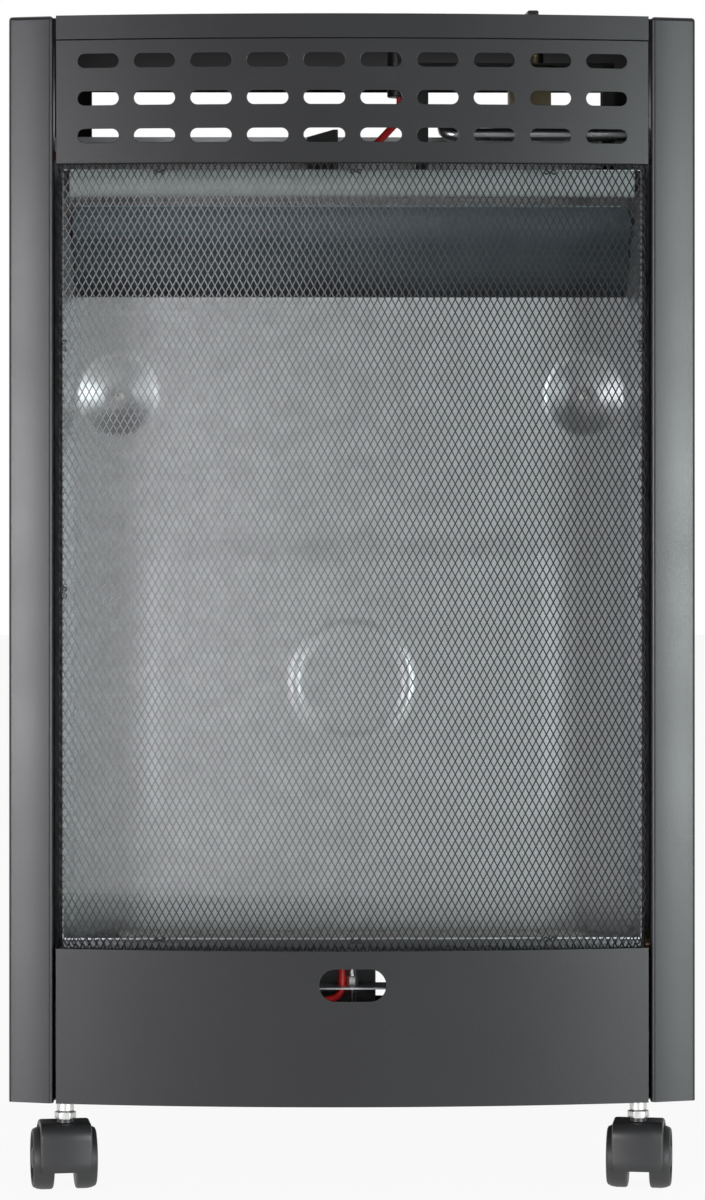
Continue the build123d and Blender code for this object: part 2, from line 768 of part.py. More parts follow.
def upper_baffle():
    """Shelf over the fire box with a turned-down front lip."""
    half = reflector_half_width - hood_gap
    shelf = block((-half - reflector_splay - tin, half + reflector_splay + tin),
                  (reflector_front, wall_y - lap), (baffle_z, baffle_z + tin))
    shelf += block((-half, half), (reflector_front, reflector_front + tin),
                   (baffle_z - baffle_lip, baffle_z))
    return shelf


def bay_wall():
    """Upright sheet between the fire box and the bottle bay, flanged all round."""
    flange_end = wall_y + wall_flange
    wall = block((-wing, wing), (wall_y, wall_y + tin), (floor_top, wall_head))
    for side in (-1, 1):
        wall += block((side * wing, side * (wing - tin)), (wall_y, flange_end),
                      (floor_top + rear_rim + lap, wall_head))
    inner = wing - base_sheet - lap
    for side in (-1, 1):
        wall -= block((side * inner, side * (wing + 1)), (wall_y - 1, wall_y + 2),
                      (floor_top - 1, floor_top + rear_rim + lap))
    wall += block((-inner, inner), (wall_y - wall_flange, wall_y), (floor_top, floor_top + tin))
    return wall - block((cutout_left, cutout_right), (wall_y - 1, wall_y + 2), (cutout_bottom, cutout_top))


# ================================================================ burner and pilot
def burner_tube():
    """Closed burner bar of folded sheet with a row of ports along its top."""
    y_span = (burner_y - burner_half_width, burner_y + burner_half_width)
    z_span = (burner_z - burner_half_width, burner_z + burner_half_width)
    bar = block((-burner_half, burner_half), y_span, z_span)
    bar -= block((burner_wall - burner_half, burner_half - burner_wall),
                 (y_span[0] + burner_wall, y_span[1] - burner_wall),
                 (z_span[0] + burner_wall, z_span[1] - burner_wall))
    for index in range(burner_ports):
        x = (index - (burner_ports - 1) / 2) * burner_port_pitch
        bar -= block((x - burner_port_width / 2, x + burner_port_width / 2),
                     (burner_y - burner_port_length / 2, burner_y + burner_port_length / 2),
                     (burner_z, burner_z + 2 * burner_half_width))
    mouth = Plane((burner_half - 2 * burner_wall, burner_y, burner_z), x_dir=(0, 1, 0), z_dir=(1, 0, 0))
    return bar - fluted(mouth, venturi_radius, 3 * burner_wall, 8)


def venturi():
    """Mixing tube between the burner bar and the injector's air gap."""
    start = Plane((burner_half - burner_wall, burner_y, burner_z), x_dir=(0, 1, 0), z_dir=(1, 0, 0))
    length = mouth_end - burner_half + burner_wall
    return fluted(start, venturi_radius, length, 8) - fluted(start, venturi_radius - tin, length, 8)


def injector():
    """Brass gas jet with a hexagon, carried by the pipe's end."""
    start = mouth_end + venturi_air_gap
    return Pos(start, burner_y, burner_z) * Rot(0, 90, 0) * hex_bar(injector_across, injector_length)


def burner_saddles():
    """Two feet that hold the burner bar above the pan."""
    return [block((x - saddle_width / 2, x + saddle_width / 2),
                  (burner_y - burner_half_width, burner_y + burner_half_width),
                  (reflector_pan + tin, burner_z - burner_half_width))
            for x in (-saddle_x, saddle_x)]


def pilot_bracket():
    """Plate under the fire box that carries the pilot, hung from the pan by two legs."""
    y_span = (pilot_y - plate_depth / 2, pilot_y + plate_depth / 2)
    plate = block((-plate_half_length, plate_half_length), y_span, (plate_top - plate_sheet, plate_top))
    lip_front = max(y_span[0], reflector_front + tin)
    for side in (-1, 1):
        x = side * plate_half_length
        plate += block((x, x - side * plate_sheet), (lip_front, y_span[1]),
                       (plate_top - plate_sheet, reflector_pan))
    return plate - block((electrode_x - lead_radius - hole_clearance, pilot_tube_radius + screw_fit),
                         (pilot_y - lead_radius - hole_clearance, pilot_y + lead_radius + hole_clearance),
                         (plate_top - 4, plate_top + 2))


def pilot_burner():
    """Pilot head on top of its supply tube, its mouth turned to the burner bar."""
    seat = Plane((0, pilot_y, pilot_head_bottom))
    head = seat * hex_bar(2 * pilot_head_radius, pilot_head_top - pilot_head_bottom)
    mouth = block((-pilot_head_radius / 2, pilot_head_radius / 2), (pilot_y, pilot_y + 7),
                  (pilot_head_top - 6, pilot_head_top - 2))
    return head + mouth


def pilot_nut():
    """Nut that clamps the pilot tube to its plate."""
    seat = Plane((0, pilot_y, plate_top))
    return seat * hex_bar(pilot_nut_across, pilot_nut_height) - fluted(
        seat, pilot_tube_radius + screw_fit, pilot_nut_height, 12)


def spark_electrode():
    """Ceramic rod with a steel tip that leans over the pilot's mouth."""
    seat = Plane((electrode_x, pilot_y, ceramic_bottom))
    rod = fluted(seat, ceramic_radius, ceramic_top - ceramic_bottom, 12)
    lean = Pos(electrode_x, pilot_y, ceramic_top - 1) * Rot(-electrode_lean, 0, 0)
    return rod + lean * hex_bar(2 * electrode_tip_radius, electrode_tip_length)


def thermocouple():
    """Flame sensor that lies beside the pilot's mouth."""
    start = pilot_head_radius + 1.5
    place = Pos(start, pilot_y, thermocouple_z) * Rot(0, 90, 0)
    return place * hex_bar(2 * thermocouple_radius, thermocouple_length)


# ================================================================ gas valve and controls
def gas_valve():
    """Valve block with its neck, bored for the plunger and the spindle."""
    top = valve_bottom + valve_height
    body = block((valve_left, valve_right), (knob_y - valve_half_depth, knob_y + valve_half_depth),
                 (valve_bottom, top))
    body += fluted(Plane((knob_x, knob_y, top)), valve_neck_radius, valve_neck_height, 12)
    return body - upright(knob_x, knob_y, spindle_radius + running_clearance, plunger_floor,
                          top + valve_neck_height + 1)


def valve_plunger():
    """Sprung plunger that the spindle presses on."""
    low = plunger_floor + spindle_travel
    return upright(knob_x, knob_y, spindle_radius, low, low + plunger_height)


def valve_spindle():
    """Spindle from the plunger up into the knob."""
    low = plunger_floor + spindle_travel + plunger_height
    return upright(knob_x, knob_y, spindle_radius, low, knob_bottom + knob_height - 2.5)


def control_knob():
    """Round skirt with a raised grip bar, blind bored for the spindle."""
    skirt = fluted(Plane.XY, knob_radius, knob_skirt, wheel_flats)
    bar = Pos(0, 0, knob_height / 2) * Box(2 * knob_radius - 5, knob_grip_width, knob_height)
    knob = Pos(knob_x, knob_y, knob_bottom) * (skirt + bar)
    return knob - upright(knob_x, knob_y, spindle_radius, knob_bottom - 1, knob_bottom + knob_height - 2.5)


def valve_bracket():
    """Folded bracket: an arm over the valve on two legs that stand on the shelf."""
    foot_z = baffle_z + tin
    arm_z = valve_bottom + valve_height
    front = knob_y - bracket_half_depth
    rear = knob_y + bracket_half_depth
    bracket = block((bracket_left, bracket_right), (front, rear), (arm_z, arm_z + bracket_sheet))
    for low, high in ((bracket_left, bracket_left + bracket_leg_width),
                      (bracket_right - bracket_leg_width, bracket_right)):
        bracket += block((low, high), (front, front + bracket_sheet), (foot_z, arm_z))
        bracket += block((low, high), (front, wall_y - lap), (foot_z, foot_z + bracket_sheet))
    neck = fluted(Plane((knob_x, knob_y, arm_z - 1)), valve_neck_radius + lap, bracket_sheet + 2, 12)
    return bracket - neck


def bracket_feet():
    """Middles of the bracket's two feet along X."""
    return (bracket_left + bracket_leg_width / 2, bracket_right - bracket_leg_width / 2)


def igniter_body():
    """Piezo igniter's bezel and barrel, bored for the button."""
    place = Pos(igniter_x, knob_y, igniter_body_bottom)
    barrel = place * fluted(Plane.XY, igniter_body_radius, cabinet_top + 0.5 - igniter_body_bottom, 12)
    bezel = fluted(Plane((igniter_x, knob_y, cabinet_top)), igniter_bezel_radius, igniter_bezel_height, 24)
    bore_floor = cabinet_top + igniter_bezel_height - igniter_travel - 16
    return barrel + bezel - upright(igniter_x, knob_y, igniter_button_radius + running_clearance,
                                    bore_floor, cabinet_top + 10)


def igniter_button():
    """Push button of the piezo igniter."""
    top = cabinet_top + igniter_bezel_height + igniter_rise
    return upright(igniter_x, knob_y, igniter_button_radius, cabinet_top + igniter_bezel_height - 14, top)


def igniter_nut():
    """Nut that clamps the igniter under the lid."""
    outline = RegularPolygon(igniter_nut_radius, 6) - RegularPolygon(igniter_body_radius + screw_fit, 12)
    seat = Pos(igniter_x, knob_y, panel_underside - igniter_nut_height)
    return seat * extrude(outline, igniter_nut_height)


# ================================================================ pipes and leads
def main_gas_pipe():
    """Pipe from the valve's outlet, round the fire box, to the injector."""
    start = valve_left - union_length
    end_x = mouth_end + venturi_air_gap + injector_length
    turn_x = knob_x - pipe_drop_reach
    points = [(start, knob_y, valve_port_z), (turn_x, knob_y, valve_port_z),
              (turn_x, burner_y, pipe_z), (channel_x + 5, burner_y, pipe_z),
              (channel_x + 5, burner_y, burner_z), (end_x, burner_y, burner_z)]
    return swept_rod(points, [pipe_bend, pipe_bend, 14, pipe_bend], pipe_radius)


def pipe_unions():
    """Hexagonal union nuts on the valve's outlet, pilot port and sensor port."""
    outlet = Pos(valve_left - union_length, knob_y, valve_port_z) * Rot(0, 90, 0) * (
        hex_bar(union_across, union_length))
    pilot = Pos(pilot_port_x, pilot_port_y, valve_bottom - union_length) * (
        hex_bar(pilot_nut_across + 2, union_length))
    sensor = Pos(valve_right, knob_y, valve_port_z) * Rot(0, 90, 0) * (
        hex_bar(pilot_nut_across, union_length - 1))
    return [outlet, pilot, sensor]


def pilot_tube():
    """Thin tube from the valve down the right channel to the pilot head."""
    tube_y = pilot_y + 10
    points = [(pilot_port_x, pilot_port_y, valve_bottom - union_length),
              (pilot_port_x, pilot_port_y, pilot_run_z),
              (channel_x - 4, tube_y, pilot_run_z), (channel_x - 4, tube_y, pilot_low_z),
              (0, pilot_y, pilot_low_z), (0, pilot_y, pilot_head_bottom)]
    return swept_rod(points, [10, 10, 14, 12], pilot_tube_radius)


def thermocouple_lead():
    """Copper lead from the flame sensor up the right channel to the valve."""
    start = pilot_head_radius + 1.5 + thermocouple_length
    end = valve_right + union_length - 1
    points = [(start, pilot_y, thermocouple_z), (channel_x + 8, pilot_y, thermocouple_z),
              (channel_x + 8, pilot_y, valve_port_z - 10),
              (bracket_right + sensor_turn_gap, knob_y, valve_port_z), (end, knob_y, valve_port_z)]
    return swept_rod(points, [12, 12, 12], thermocouple_lead_radius)


def ignition_lead():
    """Red silicone lead from the igniter down the left channel to the electrode."""
    drop_y = pilot_y + lead_drop_setback
    points = [(igniter_x, knob_y, igniter_body_bottom), (igniter_x, knob_y, lead_run_z + lead_foot_rise),
              (igniter_x - 20, lead_run_y, lead_run_z), (lead_turn_x, lead_run_y, lead_run_z),
              (-channel_x, drop_y, lead_run_z - 2), (-channel_x, drop_y, lead_low_z),
              (lead_rise_x, pilot_y, lead_low_z), (electrode_x, pilot_y, plate_top - lead_foot_drop),
              (electrode_x, pilot_y, ceramic_bottom)]
    radii = [12, 12, 60, 22, 22, 40, 9]
    return swept_rod(points, radii, lead_radius)


def lead_clip():
    """Wedge-shaped clip on the shelf that the ignition lead runs through."""
    low = baffle_z + tin
    high = low + clip_rise
    outline = Polyline((clip_left, low), (clip_right, low), (clip_right, high),
                       (clip_right - clip_flat, high), (clip_left, high - clip_slope), close=True)
    clip = extrude(front_face(lead_run_y, 0) * make_face(outline), clip_half_depth, both=True)
    hole = lead_radius + screw_fit
    return clip - block((clip_left - 1, clip_right + 1), (lead_run_y - hole, lead_run_y + hole),
                        (lead_run_z - hole, lead_run_z + hole))


def hose_nozzle():
    """Brass inlet: hexagon on the valve's back and a plain tail for the gas hose."""
    start = knob_y + valve_half_depth
    turned = Pos(knob_x, start + hose_hex_length, hose_port_z) * Rot(90, 0, 0)
    hexagon = turned * hex_bar(hose_hex_across, hose_hex_length)
    tail = along_y(knob_x, hose_port_z, hose_tail_radius, start + hose_hex_length - 1,
                   start + hose_hex_length + hose_tail_length)
    mouth = Plane((knob_x, start + 2, hose_port_z), x_dir=(1, 0, 0), z_dir=(0, 1, 0))
    bore = fluted(mouth, hose_tail_radius - hose_tail_wall, hose_hex_length + hose_tail_length)
    return hexagon + tail - bore


# ================================================================ casters
def caster_frame(x, y):
    """Where a caster stands: its stem's foot on the floor, turned by its toe."""
    return Pos(x, y, 0) * Rot(0, 0, caster_toe if x < 0 else -caster_toe)


def caster_fork(x, y):
    """Moulded fork: a web with the stem's socket and a hood over both wheels."""
    hood_radius = wheel_radius + fork_wheel_gap + fork_wall
    rim = []
    for step in range(fork_flats + 1):
        angle = radians(fork_front_angle + step * (fork_rear_angle - fork_front_angle) / fork_flats)
        rim.append((cos(angle), sin(angle)))
    arch = [(hood_radius * c, hood_radius * s) for c, s in rim]
    reach = wheel_radius + fork_wheel_gap
    arch += [(reach * c, reach * s) for c, s in reversed(rim)]
    side_view = Plane(origin=(0, caster_trail, wheel_radius), x_dir=(0, -1, 0), z_dir=(-1, 0, 0))
    hood = extrude(side_view * make_face(Polyline(*arch, close=True)), fork_cover_half, both=True)
    web_outline = [(reach * c, reach * s) for c, s in rim[1:fork_flats - 2]] + [(-8, 0), (-4, -8), (12, -8)]
    web = extrude(side_view * make_face(Polyline(*web_outline, close=True)), fork_half, both=True)
    cap = block((-fork_half, fork_half), (-fork_half, caster_trail), (fork_top - fork_wall - 2, fork_top))
    fork = hood + web + cap
    fork -= wheel_line(axle_radius, -fork_half - 1, fork_half + 1)
    fork -= fluted(Plane((0, 0, stem_foot - 0.5)), stem_radius + running_clearance, fork_top, outside=True)
    return caster_frame(x, y) * fork


def wheel_line(radius, low, high, outside=False):
    """Flat-sided bar on a caster's axle line."""
    start = Plane((low, caster_trail, wheel_radius), x_dir=(0, 1, 0), z_dir=(1, 0, 0))
    return fluted(start, radius, high - low, outside=outside)


def caster_axle(x, y):
    """Steel axle through the fork's web."""
    return caster_frame(x, y) * wheel_line(axle_radius, -axle_half, axle_half)


def caster_wheel(x, y, side):
    """Wheel with a flat-sided tread, blind bored for the axle."""
    profile = RegularPolygon(wheel_radius, wheel_flats, major_radius=False, rotation=180 / wheel_flats)
    inner = (side * wheel_inner, caster_trail, wheel_radius)
    wheel = extrude(Plane(origin=inner, x_dir=(0, 1, 0), z_dir=(side, 0, 0)) * profile, wheel_width)
    bore = sorted((side * (wheel_inner - 1), side * (axle_half + 0.5)))
    return caster_frame(x, y) * (wheel - wheel_line(axle_radius + running_clearance, *bore, outside=True))


def caster_stem(x, y):
    """Stem with a collar, a nut and a shank under the floor, and its nut above it."""
    collar_low = fork_top + stem_collar_gap
    nut_low = collar_low + stem_collar_height
    shank_low = nut_low + stem_nut_height
    return fluted(Plane((x, y, stem_foot)), stem_radius, collar_low - stem_foot) + [
        Pos(x, y, collar_low) * hex_bar(2 * stem_collar_radius, stem_collar_height),
        Pos(x, y, nut_low) * hex_bar(stem_nut_across, stem_nut_height),
        Pos(x, y, shank_low) * hex_bar(stem_shank_across, base_underside - shank_low),
        Pos(x, y, base_underside) * hex_bar(stem_thread_across, stem_top - base_underside),
        Pos(x, y, floor_top) * hex_bar(stem_nut_across, stem_nut_height),
    ]


# ================================================================ fasteners
def reflector_screws():
    """Screw heads in the two dishes of the fire box."""
    seat = wall_y - lap - tin
    return [Pos(x, seat, dish_z) * Rot(90, 0, 0) * screw_head() for x in (-dish_x, dish_x)]


def cabinet_screws():
    """Screw heads on the rear flanges, under the floor and on the bracket's feet."""
    screws = []
    for side in (-1, 1):
        rim = Pos(side * (half_width - rim_screw_inset), flange_y, base_underside + rim_screw_rise)
        screws.append(rim * Rot(-90, 0, 0) * screw_head())
        foot = Pos(side * (half_width - foot_screw_inset), wall_y - foot_screw_gap, base_underside)
        screws.append(foot * Rot(180, 0, 0) * screw_head())
    for x in bracket_feet():
        seat = baffle_z + tin + bracket_sheet
        screws.append(Pos(x, knob_y - bracket_half_depth / 2, seat) * screw_head())
    return screws


# ================================================================ all the pieces
sub_parts = {
    "left_side_panel": mirror(side_panel(), about=Plane.YZ),
    "right_side_panel": side_panel(),
    "top_panel": top_panel(),
    "upper_front_panel": upper_front_panel(),
    "lower_front_panel": lower_front_panel(),
    "base_plate": base_plate(),
    "rear_cover": rear_cover(),
    "guard_mesh": guard_mesh(),
    "guard_clips": guard_clips(),
    "reflector_tray": reflector_tray(),
    "deflector_hood": deflector_hood(),
    "upper_baffle": upper_baffle(),
    "bay_wall": bay_wall(),
    "burner_tube": burner_tube(),
    "venturi": venturi(),
    "injector": injector(),
    "burner_saddles": burner_saddles(),
    "pilot_bracket": pilot_bracket(),
    "pilot_burner": pilot_burner(),
    "pilot_nut": pilot_nut(),
    "pilot_tube": pilot_tube(),
    "spark_electrode": spark_electrode(),
    "thermocouple": thermocouple(),
    "thermocouple_lead": thermocouple_lead(),
    "ignition_lead": ignition_lead(),
    "lead_clip": lead_clip(),
    "gas_valve": gas_valve(),
    "valve_plunger": valve_plunger(),
    "valve_spindle": valve_spindle(),
    "control_knob": control_knob(),
    "valve_bracket": valve_bracket(),
    "main_gas_pipe": main_gas_pipe(),
    "pipe_unions": pipe_unions(),
    "hose_nozzle": hose_nozzle(),
    "igniter_body": igniter_body(),
    "igniter_button": igniter_button(),
    "igniter_nut": igniter_nut(),
    "reflector_screws": reflector_screws(),
    "cabinet_screws": cabinet_screws(),
    "caster_stems": [caster_stem(x, y) for x, y in caster_places()],
}
for place, (x, y) in zip(("front_left", "front_right", "rear_left", "rear_right"), caster_places()):
    sub_parts[f"caster_fork_{place}"] = caster_fork(x, y)
    sub_parts[f"caster_axle_{place}"] = caster_axle(x, y)
    sub_parts[f"wheel_{place}_a"] = caster_wheel(x, y, -1)
    sub_parts[f"wheel_{place}_b"] = caster_wheel(x, y, 1)

for name, shape in sub_parts.items():
    save(name, shape)
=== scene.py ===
"""Portable gas cabinet heater: its guard, fire box, panels, controls, pipes, casters and finishes.

Lengths are metres in the frame's own axes: +X is the viewer's right, -Y is the front and +Z is up.
"""

import json
import logging
from dataclasses import dataclass, field
from enum import Enum
from math import asin, atan2, ceil, cos, hypot, pi, radians, sin, sqrt, tan
from typing import Callable, Iterable, Sequence

import bmesh
import bpy
from mathutils import Matrix, Vector


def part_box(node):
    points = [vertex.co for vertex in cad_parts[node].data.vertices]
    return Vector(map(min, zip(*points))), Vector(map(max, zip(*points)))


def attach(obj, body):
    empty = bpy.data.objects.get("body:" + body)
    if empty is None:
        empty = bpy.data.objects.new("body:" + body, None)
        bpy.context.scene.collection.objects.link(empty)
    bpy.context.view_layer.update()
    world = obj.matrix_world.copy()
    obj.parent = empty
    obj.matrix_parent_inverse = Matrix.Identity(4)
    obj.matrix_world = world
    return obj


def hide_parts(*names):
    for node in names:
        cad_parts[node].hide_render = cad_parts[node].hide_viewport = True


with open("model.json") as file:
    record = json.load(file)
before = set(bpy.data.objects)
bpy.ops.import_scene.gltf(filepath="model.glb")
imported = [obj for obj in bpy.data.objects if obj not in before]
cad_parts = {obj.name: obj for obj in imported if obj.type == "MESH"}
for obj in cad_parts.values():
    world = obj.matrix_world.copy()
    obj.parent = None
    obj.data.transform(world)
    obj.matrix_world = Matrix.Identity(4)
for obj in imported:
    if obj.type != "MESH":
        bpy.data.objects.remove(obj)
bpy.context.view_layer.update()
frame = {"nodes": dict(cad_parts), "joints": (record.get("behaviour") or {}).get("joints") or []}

LOG = logging.getLogger("heater")
MM = 0.001
SMOOTH_ANGLE = radians(32)
ROUTE_STEP = radians(9)     # turn between two points of a pipe's bend
CABINET = "cabinet"
HOLE_CORNERS = {"right": (1, 0), "top": (0, 1), "left": (-1, 0), "bottom": (0, -1)}
CORNERS = ("front_left", "front_right", "rear_left", "rear_right")
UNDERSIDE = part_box("base_plate")[0].z

Colour = tuple[float, float, float]
Outline = Sequence[tuple[float, float]]
Line = list[tuple[float, float]]
Point = Sequence[float]


# ---- shader maths
def operator(operation: str, swapped: bool = False) -> Callable[["Signal", "Signal | float"], "Signal"]:
    """Operator of written sums that adds one Math node.

    Args:
        operation: the node's operation.
        swapped: whether the other term comes first.

    Returns:
        The operator's method.
    """
    def method(self: "Signal", other: "Signal | float") -> "Signal":
        """Add the node."""
        return self.math(operation, *((other, self) if swapped else (self, other)))
    return method


class Signal:
    """A socket of a material's nodes that takes part in written sums."""

    def __init__(self, tree: bpy.types.NodeTree, socket: bpy.types.NodeSocket) -> None:
        """Wrap one output socket."""
        self.tree = tree
        self.socket = socket

    def math(self, operation: str, *terms: "Signal | float") -> "Signal":
        """Add one Math node.

        Args:
            operation: the node's operation.
            terms: its inputs in order.

        Returns:
            The node's result.
        """
        made = self.tree.nodes.new("ShaderNodeMath")
        made.operation = operation
        for place, term in zip(made.inputs, terms):
            if isinstance(term, Signal):
                self.tree.links.new(term.socket, place)
            else:
                place.default_value = term
        return Signal(self.tree, made.outputs[0])

    __add__, __radd__ = operator("ADD"), operator("ADD", True)
    __sub__, __rsub__ = operator("SUBTRACT"), operator("SUBTRACT", True)
    __mul__, __rmul__ = operator("MULTIPLY"), operator("MULTIPLY", True)
    __truediv__, __rtruediv__ = operator("DIVIDE"), operator("DIVIDE", True)
    __pow__ = operator("POWER")

    def clamped(self) -> "Signal":
        """Value kept between 0 and 1."""
        return self.math("MINIMUM", self.math("MAXIMUM", self, 0.0), 1.0)

    def over(self, edge: float, softness: float) -> "Signal":
        """Mask that rises from 0 to 1 over a soft edge.

        Args:
            edge: value at which the mask is a half.
            softness: width of the rise.

        Returns:
            The mask.
        """
        return ((self - (edge - softness / 2)) / softness).clamped()


class Shader:
    """Nodes of one material, ending in its Principled shader."""

    def __init__(self, name: str) -> None:
        """Start a material with a bare Principled shader."""
        self.material = bpy.data.materials.new(name)
        self.material.use_nodes = True
        self.tree = self.material.node_tree
        self.principled = self.tree.nodes["Principled BSDF"]

    def node(self, kind: str, settings: dict | None = None, inputs: dict | None = None,
             output: int | str = 0) -> Signal:
        """Add any node.

        Args:
            kind: the node's type.
            settings: its own settings, set first.
            inputs: values or signals of its sockets, by name or number.
            output: the socket that is returned.

        Returns:
            The chosen output.
        """
        made = self.tree.nodes.new(kind)
        for name, value in (settings or {}).items():
            setattr(made, name, value)
        for key, value in (inputs or {}).items():
            self.feed(made.inputs[key], value)
        return Signal(self.tree, made.outputs[output])

    def feed(self, socket: bpy.types.NodeSocket, value: object) -> None:
        """Link a signal to a socket, or set its value."""
        if isinstance(value, Signal):
            self.tree.links.new(value.socket, socket)
        elif socket.type == "RGBA" and len(value) == 3:
            socket.default_value = (*value, 1)
        else:
            socket.default_value = value

    def set(self, **values: object) -> None:
        """Set the Principled shader's sockets, named with underscores for spaces."""
        for name, value in values.items():
            self.feed(self.principled.inputs[name.replace("_", " ")], value)

    def place(self) -> Signal:
        """Point on the surface in metres, in the piece's own axes."""
        return self.node("ShaderNodeTexCoord", output="Object")

    def axes(self) -> tuple[Signal, Signal, Signal]:
        """Three coordinates of the point on the surface."""
        apart = {"Vector": self.place()}
        return tuple(self.node("ShaderNodeSeparateXYZ", inputs=apart, output=axis) for axis in "XYZ")

    def noise(self, size: float, detail: float = 2.0, stretch: tuple[float, float, float] = (1, 1, 1),
              roughness: float = 0.5) -> Signal:
        """Noise with features of a real size.

        Args:
            size: width of a feature in metres.
            detail: octaves.
            stretch: how many times closer together the features lie along each axis.
            roughness: weight of the finer octaves.

        Returns:
            A value that lies round a half.
        """
        where = self.node("ShaderNodeMapping", inputs={"Vector": self.place(), "Scale": stretch})
        knobs = {"Vector": where, "Scale": 1 / size, "Detail": detail, "Roughness": roughness}
        return self.node("ShaderNodeTexNoise", inputs=knobs)

    def mix(self, share: Signal | float, first: Signal | Colour, second: Signal | Colour) -> Signal:
        """Colour between two colours."""
        colours = [(*c, 1) if isinstance(c, tuple) else c for c in (first, second)]
        inputs = {0: share, 6: colours[0], 7: colours[1]}
        return self.node("ShaderNodeMix", {"data_type": "RGBA"}, inputs, 2)

    def bump(self, height: Signal, depth: float) -> Signal:
        """Normal that follows a height, of which 1 stands for the depth in metres."""
        return self.node("ShaderNodeBump", inputs={"Strength": 1.0, "Distance": depth, "Height": height})


# ---- finishes
def scaled(colour: Colour, factor: float) -> Colour:
    """Colour made lighter or darker."""
    return tuple(channel * factor for channel in colour)


@dataclass(frozen=True)
class Look:
    """Base of the finishes: the record's slot and the colour."""

    slot: str
    colour: Colour

    def paint(self, shader: Shader) -> None:
        """Connect the nodes of the finish."""
        raise NotImplementedError


@dataclass(frozen=True)
class PowderCoat(Look):
    """Baked paint with the fine orange-peel grain of sprayed powder."""

    roughness: float = 0.38
    grain: float = 0.9 * MM
    depth: float = 0.035 * MM

    def paint(self, shader: Shader) -> None:
        """Fine grain, faint cloudiness and a few lighter specks; painted shade makes the colour far darker
        where the sheet looks down, and there it is rougher too.
        """
        grain = shader.noise(self.grain, 2.0)
        cloud = shader.noise(70 * MM, 3.0)
        speck = shader.noise(0.5 * MM, 0.0).over(0.78, 0.06)
        facing = {"Vector": shader.node("ShaderNodeTexCoord", output="Normal")}
        # painted shade: mask of the faces that look down
        under = (0 - shader.node("ShaderNodeSeparateXYZ", inputs=facing, output="Z")).over(0.75, 0.2)
        tone = shader.mix(cloud, scaled(self.colour, 0.85), scaled(self.colour, 1.15))
        tone = shader.mix(speck * 0.5, tone, scaled(self.colour, 4.0))
        # painted shade: the colour falls to 0.3 of itself where the sheet looks down
        tone = shader.mix(under, tone, scaled(self.colour, 0.3))
        rough = self.roughness + (cloud - 0.5) * 0.08 + (grain - 0.5) * 0.12 + under * 0.55
        shader.set(Base_Color=tone, Roughness=rough, Specular_IOR_Level=0.5,
                   Normal=shader.bump(grain, self.depth))


@dataclass(frozen=True)
class Glaze(Look):
    """Smooth coat that pools a little: enamel, a ceramic's glaze or silicone."""

    size: float
    detail: float
    share: float
    tint: float
    roughness: float
    swing: float
    depth: float
    grain: float = 0.0

    def paint(self, shader: Shader) -> None:
        """Pools in the tone and the gloss, and a faint relief."""
        pool = shader.noise(self.size, self.detail)
        relief = shader.noise(self.grain) if self.grain else pool
        shader.set(Base_Color=shader.mix(pool * self.share, self.colour, scaled(self.colour, self.tint)),
                   Roughness=self.roughness + (pool - 0.5) * self.swing,
                   Normal=shader.bump(relief, self.depth))


@dataclass(frozen=True)
class Galvanised(Look):
    """Zinc-coated sheet: faint crystals and a fine rolled grain."""

    roughness: float = 0.42
    metal: float = 0.85
    streak: tuple[float, float, float] = (1, 1, 12)

    def paint(self, shader: Shader) -> None:
        """Crystals in the tone, streaks in the roughness."""
        crystal = shader.node("ShaderNodeTexVoronoi", {"feature": "F1"},
                              {"Vector": shader.place(), "Scale": 1 / (9 * MM)}, "Color")
        crystal = shader.node("ShaderNodeSeparateColor", inputs={"Color": crystal})
        streak = shader.noise(4 * MM, 3.0, self.streak)
        cloud = shader.noise(60 * MM, 2.0)
        share = crystal * 0.35 + cloud * 0.65
        tone = shader.mix(share, scaled(self.colour, 0.9), scaled(self.colour, 1.08))
        shader.set(Base_Color=tone, Metallic=self.metal,
                   Roughness=self.roughness + (streak - 0.5) * 0.16 + (crystal - 0.5) * 0.05,
                   Normal=shader.bump(streak, 0.01 * MM))


@dataclass(frozen=True)
class TintedSheet(Look):
    """Bright sheet tinted blue, darkened towards its foot by painted shade."""

    foot: float = 0.0
    head: float = 1.0
    roughness: float = 0.36
    # colour of the painted shade at the sheet's foot
    shaded_foot: Colour = (0.010, 0.012, 0.014)

    def paint(self, shader: Shader) -> None:
        """Painted shade at the sheet's foot that gives way to the tint up the sheet, with clouds and rolled
        streaks.
        """
        streak = shader.noise(4 * MM, 3.0, (12, 1, 1))
        cloud = shader.noise(45 * MM, 3.0)
        height = shader.axes()[2]
        # painted shade: the share falls towards the foot, where the colour turns dark
        share = ((height - self.foot) / (self.head - self.foot) + (cloud - 0.5) * 0.25).clamped() ** 1.5
        tone = shader.mix(share, self.shaded_foot, self.colour)
        shader.set(Base_Color=tone, Metallic=0.8, Roughness=self.roughness + (streak - 0.5) * 0.14,
                   Normal=shader.bump(streak, 0.01 * MM))


@dataclass(frozen=True)
class Metal(Look):
    """Turned, drawn or plated metal."""

    roughness: float = 0.28
    tarnish: float = 0.3

    def paint(self, shader: Shader) -> None:
        """Uneven tarnish and fine tool marks."""
        stain = shader.noise(8 * MM, 4.0)
        mark = shader.noise(0.6 * MM, 2.0, (1, 1, 6))
        tone = shader.mix((stain * self.tarnish).clamped(), self.colour, scaled(self.colour, 0.55))
        shader.set(Base_Color=tone, Metallic=1.0,
                   Roughness=self.roughness + (stain - 0.5) * 0.2 + (mark - 0.5) * 0.1,
                   Normal=shader.bump(mark, 0.008 * MM))


